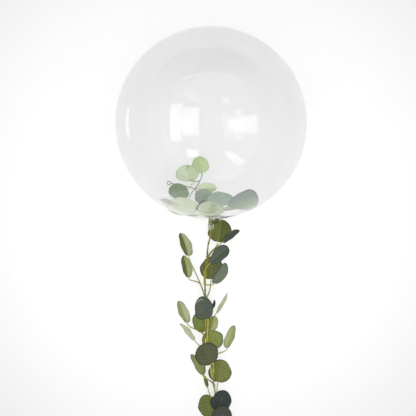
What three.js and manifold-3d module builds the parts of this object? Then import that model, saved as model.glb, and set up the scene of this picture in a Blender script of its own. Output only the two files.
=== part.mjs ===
// A clear bubble balloon with a eucalyptus garland for a tail, lying on a floor. Millimetres, +Z up.
// The balloon rests on a small flat spot, with the origin at the middle of that spot. Its neck points
// along -Y and a little down, and the garland runs from the neck down to the floor and on along -Y.
import * as THREE from "three";
import { mergeVertices } from "three/addons/utils/BufferGeometryUtils.js";
import Module from "manifold-3d";

const wasm = await Module();
wasm.setup();

// The balloon
const BALLOON_DIAMETER = 495;
const BALLOON_STRETCH = 1.006; // its length along the neck's axis over its diameter
const REST_SPOT_RADIUS = 40; // the flat spot that it lies on
const NECK_TILT = 22; // degrees that the neck points below level
const NECK_RADIUS = 5.5; // the film gathered under the tie
const NECK_LENGTH = 14; // gathered film between the shoulder and the loose end
const SHOULDER_RADIUS = 22; // where the round body turns into the neck
const MOUTH_LENGTH = 14; // the loose flat end of the film, below the tie
const MOUTH_WIDTH = 15;
const MOUTH_THICKNESS = 2.6;
const MOUTH_FLARE = 0.4; // share of the mouth's length that takes it to its full width
const BALLOON_SIDES = 44;
const BALLOON_ROWS = 20;
const SHOULDER_ROWS = 4;

// The tie round the neck and the garland's stem
const TIE_WIDTH = 7;
const TIE_THICKNESS = 1.4;
const TIE_PLACE = 0.45; // where its middle sits, as a share of the neck's length
const TIE_ARC_STEPS = 6;

// The garland's main stem
const STEM_RADIUS = 1.8;
const STEM_LENGTH = 780; // how far it runs past the tie, seen from above
const STEM_LIFT = 21; // its height over the floor, where the leaves carry it
const STEM_DROP = 252; // how far past the tie it comes down to that height
const STEM_OVERHANG = 8; // the end that stands out of the tie towards the balloon
const STEM_CUT = 10; // its last, straight stretch, so that the cut end faces along -Y
const STEM_SIDES = 6;
const STEM_STEPS = 54;

// The sprays: thin twigs, each with a collar that clips round the main stem
const TWIG_RADIUS = 1.1;
const TWIG_SIDES = 5;
const TWIG_STEPS = 5;
const TWIG_LEAVES = 0.4; // share of its reach that a twig runs along its stem before it turns off
const TWIG_ARRIVES = 0.3; // and along its leaf before it gets there
const COLLAR_WALL = 1.3;
const COLLAR_LENGTH = 9;
const COLLAR_SIDES = 8;
const GAP = 0.3; // between pieces that touch
const SHARE_STEP = 1e-7; // how finely a place along the main stem is found

// The leaves
const LEAF_LENGTH = 62;
const LEAF_WIDTH = 58;
const LEAF_THICKNESS = 1.1;
const LEAF_FULLNESS = 0.12; // how much broader a leaf is towards its foot
const LEAF_SEGMENTS = 14;
const LEAF_ROWS = 4;

// The main stem's gentle waves: how far past the tie, as a share of its length, and how far to the side
const STEM_WAVES = [
  [0.0513, -1],
  [0.0833, -7],
  [0.1218, -10],
  [0.1667, -13],
  [0.2179, -16],
  [0.2756, -15],
  [0.359, -12],
  [0.391, -13],
  [0.4359, -12],
  [0.5128, 2],
  [0.5705, 6],
  [0.6218, 12],
  [0.7051, 15],
  [0.7949, 10],
  [0.8846, 4],
];

// Each spray clips on some way along the main stem, as a share of its length past the tie, and its
// twigs swing out from the stem by its spread as they leave the collar. Each leaf says where its foot
// stands from the collar (to the right, back towards the balloon, up), which way it grows (turn from
// straight towards the balloon, rise, and roll about its midrib, in degrees), its length and width as
// shares of the usual leaf, and in millimetres how high its edges fold up and its middle arches. A leaf
// with "off" springs from the twig of an earlier leaf, at that share of its length.
const SPRAYS = [
  {
    along: 0.0231,
    spread: 9,
    leaves: [
      { foot: [24, 19, 26], turn: -105, rise: 0, roll: 0, long: 0.36, wide: 0.22, fold: 1, arch: 1 },
    ],
  },
  {
    along: 0.1462,
    spread: 2,
    leaves: [
      { foot: [31, 54, 12], turn: 10, rise: 20, roll: 180, long: 1.1, wide: 1.1, fold: 2, arch: 3 },
      { foot: [45, 56, 38], turn: 56, rise: 18, roll: -66, long: 0.92, wide: 0.72, fold: 3, arch: 2 },
    ],
  },
  {
    along: 0.2846,
    spread: 16,
    leaves: [
      { foot: [-47, 123, 44], turn: -18, rise: 12, roll: 126, long: 1.12, wide: 0.92, fold: 7, arch: 3 },
      {
        foot: [-48, 61, 13],
        turn: -12,
        rise: 4,
        roll: 126,
        long: 1.04,
        wide: 0.84,
        fold: 5,
        arch: 2,
        off: [0, 0.3],
      },
      { foot: [15, 55, 1], turn: 4, rise: 10, roll: 180, long: 1.08, wide: 1.09, fold: 1, arch: 3 },
      { foot: [12, 104, 64], turn: 50, rise: 14, roll: -42, long: 1.12, wide: 0.82, fold: 3, arch: 3 },
      {
        foot: [23, 45, 24],
        turn: 28,
        rise: 10,
        roll: 52,
        long: 1.1,
        wide: 0.86,
        fold: 5,
        arch: 4,
        off: [3, 0.3],
      },
    ],
  },
  {
    along: 0.4256,
    spread: 10,
    leaves: [
      { foot: [-3, 54, 18], turn: -8, rise: 14, roll: 8, long: 1.12, wide: 0.92, fold: 2, arch: 3 },
      { foot: [-54, 43, 6], turn: -20, rise: 8, roll: 118, long: 1.1, wide: 0.88, fold: 6, arch: 2 },
      { foot: [28, 71, 6], turn: 28, rise: 8, roll: 102, long: 1.07, wide: 0.66, fold: 3, arch: 2 },
      { foot: [19, 84, 3], turn: 8, rise: 2, roll: 82, long: 0.4, wide: 0.34, fold: 1, arch: 1 },
    ],
  },
  {
    along: 0.5026,
    spread: 10,
    leaves: [
      { foot: [-16, 77, -8], turn: -24, rise: -4, roll: 180, long: 0.94, wide: 0.86, fold: 1, arch: 2 },
      { foot: [-2, 80, -4], turn: 18, rise: 0, roll: 184, long: 0.7, wide: 0.56, fold: 1, arch: 2 },
      { foot: [-47, 54, 2], turn: -40, rise: 4, roll: 108, long: 1.0, wide: 0.74, fold: 5, arch: 2 },
      { foot: [18, 27, -12], turn: -30, rise: 0, roll: 180, long: 0.94, wide: 1.08, fold: 1, arch: 2 },
      { foot: [46, 32, 4], turn: 20, rise: 6, roll: -116, long: 1.1, wide: 0.84, fold: 6, arch: 2 },
    ],
  },
  {
    along: 0.5962,
    spread: 6,
    leaves: [
      { foot: [-5, 64, 21], turn: -29, rise: 8, roll: 4, long: 1.02, wide: 1.18, fold: 2, arch: 4 },
      { foot: [-32, 29, 3], turn: -28, rise: 4, roll: 115, long: 1.1, wide: 0.84, fold: 5, arch: 2 },
      { foot: [-29, 30, -9], turn: 4, rise: 6, roll: 112, long: 0.48, wide: 0.3, fold: 2, arch: 1 },
    ],
  },
  {
    along: 0.7051,
    spread: 8,
    leaves: [
      { foot: [-24, 76, -13], turn: -16, rise: 0, roll: 140, long: 0.6, wide: 0.24, fold: 1, arch: 1 },
      { foot: [5, 91, -13], turn: 10, rise: 0, roll: 180, long: 1.06, wide: 1.12, fold: 1, arch: 3 },
    ],
  },
  {
    along: 0.7885,
    spread: 6,
    leaves: [
      { foot: [7, 81, 14], turn: 22, rise: 6, roll: 0, long: 1.02, wide: 0.98, fold: 2, arch: 3 },
      { foot: [-8, 57, -14], turn: -18, rise: 0, roll: 180, long: 1.08, wide: 0.92, fold: 1, arch: 2 },
      { foot: [12, 38, 26], turn: 17, rise: 10, roll: -4, long: 1.06, wide: 1.0, fold: 2, arch: 4 },
    ],
  },
];

// The last stretch of the garland repeats one spray, each copy the other way round from the one before,
// turned a little further and a little smaller
const END_SPRAYS = 3;
const END_SPRAY_START = 0.8487; // shares of the main stem's length
const END_SPRAY_STEP = 0.0538;
const END_SPREAD = 4;
const END_TURN = 9;
const END_SHRINK = 0.93;
const END_LEAVES = [
  { foot: [-31, 30, 1], turn: -52, rise: 2, roll: 140, long: 1.02, wide: 0.94, fold: 3, arch: 2 },
  { foot: [26, 12, 2], turn: 34, rise: 6, roll: -128, long: 0.98, wide: 0.8, fold: 5, arch: 2 },
  { foot: [3, 26, 17], turn: -12, rise: 14, roll: 6, long: 0.94, wide: 0.98, fold: 2, arch: 3 },
];

// Colours and finishes
const FILM = new THREE.MeshStandardMaterial({
  color: 0xe9ecec,
  roughness: 0.05,
  transparent: true,
  opacity: 0.25,
});
const TIE_CORD = new THREE.MeshStandardMaterial({ color: 0x8a8c3a, roughness: 0.6 });
const STEM_BARK = new THREE.MeshStandardMaterial({ color: 0x6f661f, roughness: 0.55 });
const TWIG_GREEN = new THREE.MeshStandardMaterial({ color: 0x93951f, roughness: 0.5 });
const LEAF_TOP = new THREE.MeshStandardMaterial({ color: 0x4b5a4c, roughness: 0.75 });
const LEAF_UNDER = new THREE.MeshStandardMaterial({ color: 0x6f7f3c, roughness: 0.75 });

// A leaf rolled further than this many degrees shows its underside from above
const SHOWS_UNDER = 90;

const radius = BALLOON_DIAMETER / 2;
const tilt = THREE.MathUtils.degToRad(NECK_TILT);
// How far the envelope reaches below its middle, and how far up the middle stands once its foot is flat
const reachDown = radius * Math.hypot(Math.cos(tilt), BALLOON_STRETCH * Math.sin(tilt));
const middleHeight = reachDown * Math.sqrt(1 - (REST_SPOT_RADIUS / radius) ** 2);
// Where the shoulder's arc meets the neck, measured from the middle along the neck's axis
const neckStart =
  Math.sqrt((radius + SHOULDER_RADIUS) ** 2 - (NECK_RADIUS + SHOULDER_RADIUS) ** 2) * BALLOON_STRETCH;
const neckEnd = neckStart + NECK_LENGTH;
const tiePlace = neckStart + NECK_LENGTH * TIE_PLACE;
const stemUnderNeck = NECK_RADIUS + GAP + STEM_RADIUS;

function mesh(name, geometry, material) {
  const made = new THREE.Mesh(geometry, material);
  made.name = name;
  return made;
}

// Changes every vertex of a geometry by a function of its place.
function reshape(geometry, move) {
  const places = geometry.getAttribute("position");
  const place = new THREE.Vector3();
  for (let i = 0; i < places.count; i++) {
    place.fromBufferAttribute(places, i);
    move(place);
    places.setXYZ(i, place.x, place.y, place.z);
  }
  geometry.computeVertexNormals();
  return geometry;
}

function solid(geometry) {
  const bare = geometry.clone();
  bare.deleteAttribute("normal");
  bare.deleteAttribute("uv");
  const merged = mergeVertices(bare, 1e-4);
  return new wasm.Manifold(
    new wasm.Mesh({
      numProp: 3,
      vertProperties: new Float32Array(merged.getAttribute("position").array),
      triVerts: new Uint32Array(merged.index.array),
    }),
  );
}

function geometryOf(made) {
  const { vertProperties, triVerts } = made.getMesh();
  const geometry = new THREE.BufferGeometry();
  geometry.setAttribute("position", new THREE.BufferAttribute(vertProperties, 3));
  geometry.setIndex(new THREE.BufferAttribute(triVerts, 1));
  geometry.computeVertexNormals();
  return geometry;
}

// A rod with flat ends along a curve.
function tube(curve, rodRadius, sides, steps) {
  const section = new THREE.Shape();
  for (let i = 0; i < sides; i++) {
    const angle = (2 * Math.PI * i) / sides;
    const [x, y] = [rodRadius * Math.cos(angle), rodRadius * Math.sin(angle)];
    if (i === 0) section.moveTo(x, y);
    else section.lineTo(x, y);
  }
  section.closePath();
  return new THREE.ExtrudeGeometry(section, { steps, extrudePath: curve });
}

// The envelope's half section, from the middle of its far side to the middle of its mouth: a round
// body, a concave shoulder, the gathered neck and the loose end. The neck points along -Y.
function envelopeProfile() {
  const points = [];
  const shoulderX = NECK_RADIUS + SHOULDER_RADIUS;
  const shoulderY = Math.sqrt((radius + SHOULDER_RADIUS) ** 2 - shoulderX ** 2);
  const shoulderAngle = Math.asin(shoulderX / (radius + SHOULDER_RADIUS));
  for (let i = 0; i <= BALLOON_ROWS; i++) {
    const angle = ((Math.PI - shoulderAngle) * i) / BALLOON_ROWS;
    points.push([radius * Math.sin(angle), radius * Math.cos(angle)]);
  }
  for (let i = 1; i <= SHOULDER_ROWS; i++) {
    const angle = (Math.PI / 2 - shoulderAngle) * (1 - i / SHOULDER_ROWS);
    points.push([
      shoulderX - SHOULDER_RADIUS * Math.cos(angle),
      -shoulderY + SHOULDER_RADIUS * Math.sin(angle),
    ]);
  }
  const stretched = points.map(([x, y]) => new THREE.Vector2(Math.max(x, 0), y * BALLOON_STRETCH));
  stretched[0].x = 0;
  const end = neckEnd + MOUTH_LENGTH;
  stretched.push(
    new THREE.Vector2(NECK_RADIUS, -neckEnd),
    new THREE.Vector2(MOUTH_WIDTH / 2, -(neckEnd + MOUTH_LENGTH * MOUTH_FLARE)),
    new THREE.Vector2(MOUTH_WIDTH / 2, -end),
    new THREE.Vector2(0, -end),
  );
  return stretched.reverse();
}

// The envelope, sealed and so one solid: turned, its mouth pressed flat, then cut flat where it rests.
function balloon() {
  const turned = new THREE.LatheGeometry(envelopeProfile(), BALLOON_SIDES);
  reshape(turned, (p) => {
    const along = THREE.MathUtils.clamp((-p.y - neckEnd) / (MOUTH_LENGTH * MOUTH_FLARE), 0, 1);
    p.z *= THREE.MathUtils.lerp(1, MOUTH_THICKNESS / MOUTH_WIDTH, along);
  });
  turned.rotateX(tilt).translate(0, 0, middleHeight);
  return geometryOf(solid(turned).trimByPlane([0, 0, 1], 0));
}

// A closed belt line round two circles, the second one below the first.
function belt(path, upper, lower, apart) {
  const lean = Math.asin((upper - lower) / apart);
  path.absarc(0, 0, upper, -lean, Math.PI + lean, false);
  path.absarc(0, -apart, lower, Math.PI + lean, 2 * Math.PI - lean, false);
  path.closePath();
  return path;
}

// The tie: a belt that holds the stem under the gathered neck.
function tie() {
  const [round, rod] = [NECK_RADIUS + GAP, STEM_RADIUS + GAP];
  const band = belt(new THREE.Shape(), round + TIE_THICKNESS, rod + TIE_THICKNESS, stemUnderNeck);
  band.holes.push(belt(new THREE.Path(), round, rod, stemUnderNeck));
  const options = { depth: TIE_WIDTH, bevelEnabled: false, curveSegments: TIE_ARC_STEPS };
  return new THREE.ExtrudeGeometry(band, options)
    .translate(0, 0, -TIE_WIDTH / 2)
    .rotateX(Math.PI / 2)
    .translate(0, -tiePlace, 0);
}

// A point of the balloon's own frame, in the part's frame.
function fromBalloon(x, y, z) {
  return new THREE.Vector3(x, y, z)
    .applyAxisAngle(new THREE.Vector3(1, 0, 0), tilt)
    .add(new THREE.Vector3(0, 0, middleHeight));
}

const stemTop = fromBalloon(0, -tiePlace, -stemUnderNeck);

// The main stem's height at a distance past the tie: it leaves along the neck and flattens out.
function stemHeight(past) {
  const t = Math.min(past / STEM_DROP, 1);
  const fall = stemTop.z - STEM_LIFT;
  const slope = -Math.tan(tilt) * STEM_DROP;
  return STEM_LIFT + fall * (2 * t ** 3 - 3 * t ** 2 + 1) + slope * (t ** 3 - 2 * t ** 2 + t);
}

function stemRoute() {
  const route = [fromBalloon(0, -tiePlace + STEM_OVERHANG, -stemUnderNeck), stemTop];
  route.push(fromBalloon(0, -tiePlace - TIE_WIDTH, -stemUnderNeck));
  for (const [along, side] of STEM_WAVES) {
    const past = STEM_LENGTH * along;
    route.push(new THREE.Vector3(side, stemTop.y - past, stemHeight(past)));
  }
  for (const past of [STEM_LENGTH - STEM_CUT, STEM_LENGTH])
    route.push(new THREE.Vector3(0, stemTop.y - past, stemHeight(past)));
  return new THREE.CatmullRomCurve3(route, false, "centripetal");
}

const stemCurve = stemRoute();

// The curve's own share of its length at a distance past the tie, found by halving.
function shareAt(past) {
  let [low, high] = [0, 1];
  while (high - low > SHARE_STEP) {
    const middle = (low + high) / 2;
    if (stemTop.y - stemCurve.getPointAt(middle).y < past) low = middle;
    else high = middle;
  }
  return low;
}

// The turn that lays a leaf made along +Y, with its top facing +Z, the way that it grows.
function leafTurn({ turn, rise, roll }) {
  const [z, x, y] = [-turn, rise, roll].map(THREE.MathUtils.degToRad);
  return new THREE.Euler(x, y, z, "ZXY");
}

// A leaf: a thin lens with a round outline, broader towards its foot, folded up along its midrib and
// arched along its length. A ball's rings become outlines inside one another.
function leafGeometry({ long, wide, fold, arch }) {
  const [length, width] = [LEAF_LENGTH * long, LEAF_WIDTH * wide];
  const ball = new THREE.SphereGeometry(1, LEAF_SEGMENTS, LEAF_ROWS).rotateX(Math.PI / 2);
  ball.rotateZ(Math.PI / 2);
  return reshape(ball, (p) => {
    const spread = Math.hypot(p.x, p.y);
    const bearing = spread > 1e-6 ? p.y / spread : 0;
    const across = p.x * (1 - LEAF_FULLNESS * bearing);
    const lift = fold * Math.abs(across) + arch * (1 - p.y ** 2);
    p.set((across * width) / 2, ((1 + p.y) * length) / 2, (p.z * LEAF_THICKNESS) / 2 + lift);
  });
}

// A twig from the collar, or from another twig, to just short of a leaf's foot.
function twigCurve(leaf, start, heading, spread) {
  const foot = new THREE.Vector3(...leaf.foot);
  const grows = new THREE.Vector3(0, 1, 0).applyEuler(leafTurn(leaf));
  const reach = foot.distanceTo(start);
  const outward = new THREE.Vector3(foot.x - start.x, 0, foot.z - start.z).normalize();
  const leaving = start
    .clone()
    .addScaledVector(heading, reach * TWIG_LEAVES)
    .addScaledVector(outward, spread);
  const arriving = foot.clone().addScaledVector(grows, -reach * TWIG_ARRIVES);
  return new THREE.CubicBezierCurve3(start, leaving, arriving, foot.addScaledVector(grows, -GAP));
}

// The twigs of one spray and the collar round the main stem, fused, with the stem's own way left open.
function sprayGeometry(spray, share) {
  const root = stemCurve.getPointAt(share);
  const back = stemCurve.getTangentAt(share).negate();
  const half = back.clone().multiplyScalar(COLLAR_LENGTH / 2);
  const collarLine = new THREE.LineCurve3(half.clone().negate(), half);
  const collarRadius = STEM_RADIUS + GAP + COLLAR_WALL;
  const curves = [];
  let fused = solid(tube(collarLine, collarRadius, COLLAR_SIDES, 1));
  for (const leaf of spray.leaves) {
    const parent = leaf.off && curves[leaf.off[0]];
    const start = parent ? parent.getPoint(leaf.off[1]) : new THREE.Vector3();
    const heading = parent ? parent.getTangent(leaf.off[1]) : back;
    const curve = twigCurve(leaf, start, heading, parent ? 0 : spray.spread);
    curves.push(curve);
    fused = fused.add(solid(tube(curve, TWIG_RADIUS, TWIG_SIDES, TWIG_STEPS)));
  }
  const way = tube(stemCurve, STEM_RADIUS + GAP, STEM_SIDES, STEM_STEPS);
  return geometryOf(fused.subtract(solid(way.translate(-root.x, -root.y, -root.z))));
}

// The leaves of one of the last sprays, counted from 0.
function endLeaves(copy) {
  const side = copy % 2 ? -1 : 1;
  const size = END_SHRINK ** copy;
  return END_LEAVES.map((leaf) => ({
    ...leaf,
    foot: [leaf.foot[0] * side, leaf.foot[1], leaf.foot[2]],
    turn: (leaf.turn + END_TURN * copy) * side,
    roll: leaf.roll * side,
    long: leaf.long * size,
    wide: leaf.wide * size,
  }));
}

function allSprays() {
  const ends = Array.from({ length: END_SPRAYS }, (_, copy) => ({
    along: END_SPRAY_START + END_SPRAY_STEP * copy,
    spread: END_SPREAD,
    leaves: endLeaves(copy),
  }));
  return [...SPRAYS, ...ends];
}

const part = new THREE.Group();
part.add(mesh("balloon", balloon(), FILM));

const neck = new THREE.Group();
neck.rotation.x = tilt;
neck.position.z = middleHeight;
neck.add(mesh("neck_tie", tie(), TIE_CORD));
part.add(neck);

part.add(mesh("main_stem", tube(stemCurve, STEM_RADIUS, STEM_SIDES, STEM_STEPS), STEM_BARK));

let leafCount = 0;
allSprays().forEach((spray, i) => {
  const share = shareAt(STEM_LENGTH * spray.along);
  const group = new THREE.Group();
  group.position.copy(stemCurve.getPointAt(share));
  group.add(mesh(`spray_${i + 1}`, sprayGeometry(spray, share), TWIG_GREEN));
  for (const leaf of spray.leaves) {
    const shows = Math.abs(leaf.roll) > SHOWS_UNDER ? LEAF_UNDER : LEAF_TOP;
    leafCount += 1;
    const made = mesh(`leaf_${String(leafCount).padStart(2, "0")}`, leafGeometry(leaf), shows);
    made.position.set(...leaf.foot);
    made.rotation.copy(leafTurn(leaf));
    group.add(made);
  }
  part.add(group);
});

export default part;
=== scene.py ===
"""The looks of a clear bubble balloon lying on a floor: eucalyptus is sealed inside the film, and a
eucalyptus garland is tied to its neck as a tail. Places are worked out in millimetres, in the CAD
part's frame: +Z up, the neck pointing along -Y and a little down, the origin at the resting spot."""

import logging
import math
from dataclasses import dataclass, replace
from enum import Enum

import bpy
import numpy as np
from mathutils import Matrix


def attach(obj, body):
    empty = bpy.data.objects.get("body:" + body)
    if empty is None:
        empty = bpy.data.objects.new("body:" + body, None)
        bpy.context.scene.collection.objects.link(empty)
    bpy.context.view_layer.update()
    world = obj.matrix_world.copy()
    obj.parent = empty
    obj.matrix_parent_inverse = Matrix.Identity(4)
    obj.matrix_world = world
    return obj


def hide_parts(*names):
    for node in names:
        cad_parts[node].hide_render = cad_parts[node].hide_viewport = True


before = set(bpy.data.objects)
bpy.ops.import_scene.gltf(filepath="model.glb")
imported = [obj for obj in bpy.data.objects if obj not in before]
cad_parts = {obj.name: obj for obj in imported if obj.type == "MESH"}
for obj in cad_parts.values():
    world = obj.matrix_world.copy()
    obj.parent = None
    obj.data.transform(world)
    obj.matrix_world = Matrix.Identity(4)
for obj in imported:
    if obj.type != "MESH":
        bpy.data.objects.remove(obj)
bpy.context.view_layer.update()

BODY = "root"
MM = 0.001
LEVELS = 255  # the steps of a displayed channel
LIGHT_LEVEL = 1.1  # how brightly the studio light shows a white surface
LEAF_SHEEN = 0.016  # the light of the sky that a dusty leaf mirrors
FILM_VEIL = 0.1  # the light that the film adds in front of what lies inside
FILM_CLARITY = 0.74  # the share of light that comes through the film
SQUARE = np.array([(-1, -1, 0), (1, -1, 0), (1, 1, 0), (-1, 1, 0)])  # its corners, in halves
log = logging.getLogger("balloon")

Colour = tuple[float, float, float]


def linear(shown: tuple[float, ...] | np.ndarray) -> np.ndarray:
    """Light per channel of a displayed colour: ((c + 0.055) / 1.055) to the power 2.4.

    Args:
        shown: displayed red, green and blue, 0 to 255.

    Returns:
        The same colour as amounts of light, 0 to 1.
    """
    c = np.asarray(shown, float) / LEVELS
    return np.where(c <= 0.04045, c / 12.92, ((c + 0.055) / 1.055) ** 2.4)


def pigment(shown: tuple[float, ...] | np.ndarray, sheen: float = 0.0) -> np.ndarray:
    """The surface colour that looks like a displayed one in this light: (its light - sheen) over the
    light's, the sheen being what the surface mirrors of the sky."""
    return np.clip((linear(shown) - sheen) / LIGHT_LEVEL, 0.004, 0.95)


def unit(vectors: np.ndarray) -> np.ndarray:
    """Each vector over its own length."""
    return vectors / np.maximum(np.linalg.norm(vectors, axis=-1, keepdims=True), 1e-9)


def ease(low: float, high: float, value: np.ndarray) -> np.ndarray:
    """A smooth step: with t = (value - low) / (high - low) kept in 0..1, it is t * t * (3 - 2 t)."""
    t = np.clip((np.asarray(value, float) - low) / (high - low), 0, 1)
    return t * t * (3 - 2 * t)


def turn_about(axis: int, degrees: float) -> np.ndarray:
    """The matrix of a turn about X (0), Y (1) or Z (2).

    Args:
        axis: which axis.
        degrees: how far.

    Returns:
        A 3 by 3 matrix with cos and sin of the angle in the other two rows and columns.
    """
    c, s = math.cos(math.radians(degrees)), math.sin(math.radians(degrees))
    i, j = [(1, 2), (2, 0), (0, 1)][axis]
    made = np.eye(3)
    made[i, i] = made[j, j] = c
    made[i, j], made[j, i] = -s, s
    return made


def smooth_line(points: np.ndarray, per_span: int) -> np.ndarray:
    """A curve through points. On each span it is the cubic x1 + t1 u + (3 (x2 - x1) - 2 t1 - t2) u^2
    + (2 (x1 - x2) + t1 + t2) u^3, whose slopes t1 and t2 weigh the neighbouring spans by the square
    root of their lengths. The line goes on straight past its two ends.

    Args:
        points: the points, one a row.
        per_span: how many steps each span gets.

    Returns:
        The points of the curve, one a row.
    """
    p = np.vstack([2 * points[0] - points[1], points, 2 * points[-1] - points[-2]])
    step = np.sqrt(np.linalg.norm(np.diff(p, axis=0), axis=1))[:, None]
    a, b, c = step[:-2], step[1:-1], step[2:]
    x0, x1, x2, x3 = p[:-3], p[1:-2], p[2:-1], p[3:]
    t1 = ((x1 - x0) / a - (x2 - x0) / (a + b) + (x2 - x1) / b) * b
    t2 = ((x2 - x1) / b - (x3 - x1) / (b + c) + (x3 - x2) / c) * b
    u = (np.arange(per_span) / per_span)[None, :, None]
    x1, x2, t1, t2 = (v[:, None, :] for v in (x1, x2, t1, t2))
    spans = x1 + t1 * u + (3 * (x2 - x1) - 2 * t1 - t2) * u**2 + (2 * (x1 - x2) + t1 + t2) * u**3
    return np.vstack([spans.reshape(-1, 3), points[-1:]])


def bump(value: np.ndarray, middle: float, width: float) -> np.ndarray:
    """A smooth hump of height 1: e to the power -((value - middle) / width)^2."""
    return np.exp(-(((value - middle) / width) ** 2))


def run_along(line: np.ndarray) -> np.ndarray:
    """How far along a line each of its points is: the sum of the steps before it."""
    return np.concatenate([[0], np.cumsum(np.linalg.norm(np.diff(line, axis=0), axis=1))])


def even_steps(line: np.ndarray, count: int) -> np.ndarray:
    """The same line with its points at equal distances along it.

    Args:
        line: points, one a row.
        count: how many points it gets.

    Returns:
        The new points, read off the line at equal shares of its length.
    """
    run = run_along(line)
    at = np.linspace(0, run[-1], count)
    return np.stack([np.interp(at, run, line[:, k]) for k in range(3)], axis=1)


def linked(name: str, data: bpy.types.ID) -> bpy.types.Object:
    """A new object of the scene that holds this data, at the origin and unturned."""
    made = bpy.data.objects.new(name, data)
    bpy.context.scene.collection.objects.link(made)
    return made


def sheet(name: str, corners: np.ndarray) -> bpy.types.Mesh:
    """A mesh of one face with these four corners, in metres."""
    mesh = bpy.data.meshes.new(name)
    mesh.from_pydata(corners.tolist(), [], [(0, 1, 2, 3)])
    return mesh


class Skin:
    """A mesh being put together from closed surfaces. Each one is a grid of points, wrapped round in
    its columns and closed at both ends, with a pattern place and a tone at each point."""

    def __init__(self) -> None:
        """Starts with nothing in it."""
        self.points: list[np.ndarray] = []
        self.tones: list[np.ndarray] = []
        self.faces: list[list[int]] = []
        self.places: list[np.ndarray] = []
        self.finishes: list[np.ndarray] = []
        self.count = 0

    def add(
        self,
        rows: np.ndarray,
        ends: tuple[np.ndarray, np.ndarray],
        place: np.ndarray,
        tone: np.ndarray,
        finish: np.ndarray | int = 0,
    ) -> None:
        """Adds one closed surface, and turns its faces outwards by the sign of its volume, which is
        the sum over its triangles of a . (b x c) / 6.

        Args:
            rows: points as rows, columns, 3.
            ends: the point that closes the first row, and the one that closes the last.
            place: pattern places as rows, columns + 1, 2.
            tone: colours as rows, columns, 3.
            finish: the material's number for each column's faces, or for all.
        """
        r, c = rows.shape[:2]
        number = self.count + np.arange(r * c).reshape(r, c)
        nxt = np.roll(number, -1, axis=1)
        quads = np.stack([number[:-1], nxt[:-1], nxt[1:], number[1:]], axis=-1).reshape(-1, 4)
        left, right = place[:, :-1], place[:, 1:]
        corners = np.stack([left[:-1], right[:-1], right[1:], left[1:]], axis=2).reshape(-1, 4, 2)
        top = np.full(c, self.count + r * c)
        first = np.stack([top, nxt[0], number[0]], axis=-1)
        last = np.stack([top + 1, number[-1], nxt[-1]], axis=-1)
        first_at = np.stack([(left[0] + right[0]) / 2, right[0], left[0]], axis=1)
        last_at = np.stack([(left[-1] + right[-1]) / 2, left[-1], right[-1]], axis=1)
        points = np.vstack([rows.reshape(-1, 3), np.asarray(ends, float)])
        near = points - points.mean(0)
        volume = 0.0
        for t in (quads[:, [0, 1, 2]], quads[:, [0, 2, 3]], first, last):
            a, b, d = (near[t[:, k] - self.count] for k in range(3))
            volume += float(np.einsum("ij,ij->", a, np.cross(b, d)))
        if volume < 0:
            quads, corners = quads[:, ::-1], corners[:, ::-1]
            first, first_at, last, last_at = (v[:, ::-1] for v in (first, first_at, last, last_at))
        self.points.append(points)
        self.tones.append(np.vstack([tone.reshape(-1, 3), tone[0].mean(0), tone[-1].mean(0)]))
        self.faces += quads.tolist() + first.tolist() + last.tolist()
        self.places += [corners.reshape(-1, 2), first_at.reshape(-1, 2), last_at.reshape(-1, 2)]
        per_column = np.broadcast_to(np.asarray(finish, int), (c,))
        self.finishes += [np.tile(per_column, r - 1), per_column, per_column]
        self.count += len(points)

    def add_rod(
        self,
        line: np.ndarray,
        thickness: np.ndarray | float,
        sides: int,
        tone: np.ndarray,
        across: np.ndarray | None = None,
        cap: float = 0.3,
    ) -> None:
        """Adds a rod: circles of the given radius round the points of a line, closed at both ends.

        Args:
            line: the middle line's points.
            thickness: the radius, for all or at each point.
            sides: points in each circle.
            tone: one colour, or one for each point of the line.
            across: a direction that the circles are set out from, never along the line.
            cap: how far its ends stand out, in radii; 0 is cut flat.
        """
        along = unit(np.gradient(line, axis=0))
        if across is None:
            across = np.eye(3)[np.argmin(np.abs(along).max(0))]
        side = unit(across - (along @ across)[:, None] * along)
        other = np.cross(along, side)
        radius = np.broadcast_to(np.asarray(thickness, float), (len(line),)).copy()
        angle = 2 * np.pi * np.arange(sides) / sides
        cos, sin = np.cos(angle)[None, :, None], np.sin(angle)[None, :, None]
        ring = cos * side[:, None] + sin * other[:, None]
        rows = line[:, None] + radius[:, None, None] * ring
        u, v = np.meshgrid(np.arange(sides + 1) / sides, run_along(line))
        tone = np.broadcast_to(np.asarray(tone, float), (len(line), 3))
        tones = np.repeat(tone[:, None], sides, axis=1)
        ends = (line[0] - along[0] * radius[0] * cap, line[-1] + along[-1] * radius[-1] * cap)
        self.add(rows, ends, np.stack([u, v], axis=-1), tones)

    def build(
        self,
        name: str,
        finishes: list[bpy.types.Material],
        slot: str,
        stands_for: tuple[str, ...] = (),
    ) -> bpy.types.Object:
        """Makes the piece, smooth shaded, riding on the part's one body.

        Args:
            name: the piece's name.
            finishes: its materials, in the order of their numbers.
            slot: the record's material slot, which is not used.
            stands_for: the CAD nodes that it replaces.

        Returns:
            The new object.
        """
        mesh = bpy.data.meshes.new(name)
        mesh.from_pydata((np.vstack(self.points) * MM).tolist(), [], self.faces)
        mesh.uv_layers.new(name="place").data.foreach_set("uv", np.vstack(self.places).ravel())
        tones = np.vstack(self.tones)
        tones = np.hstack([tones, np.ones((len(tones), 1))])
        mesh.attributes.new("tone", "FLOAT_COLOR", "POINT").data.foreach_set("color", tones.ravel())
        mesh.polygons.foreach_set("material_index", np.concatenate(self.finishes))
        mesh.polygons.foreach_set("use_smooth", np.ones(len(mesh.polygons), bool))
        for finish in finishes:
            mesh.materials.append(finish)
        mesh.update()
        made = linked(name, mesh)
        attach(made, BODY)
        if stands_for:
            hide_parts(*stands_for)
        log.info("%s: %d faces", name, len(mesh.polygons))
        return made


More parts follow.
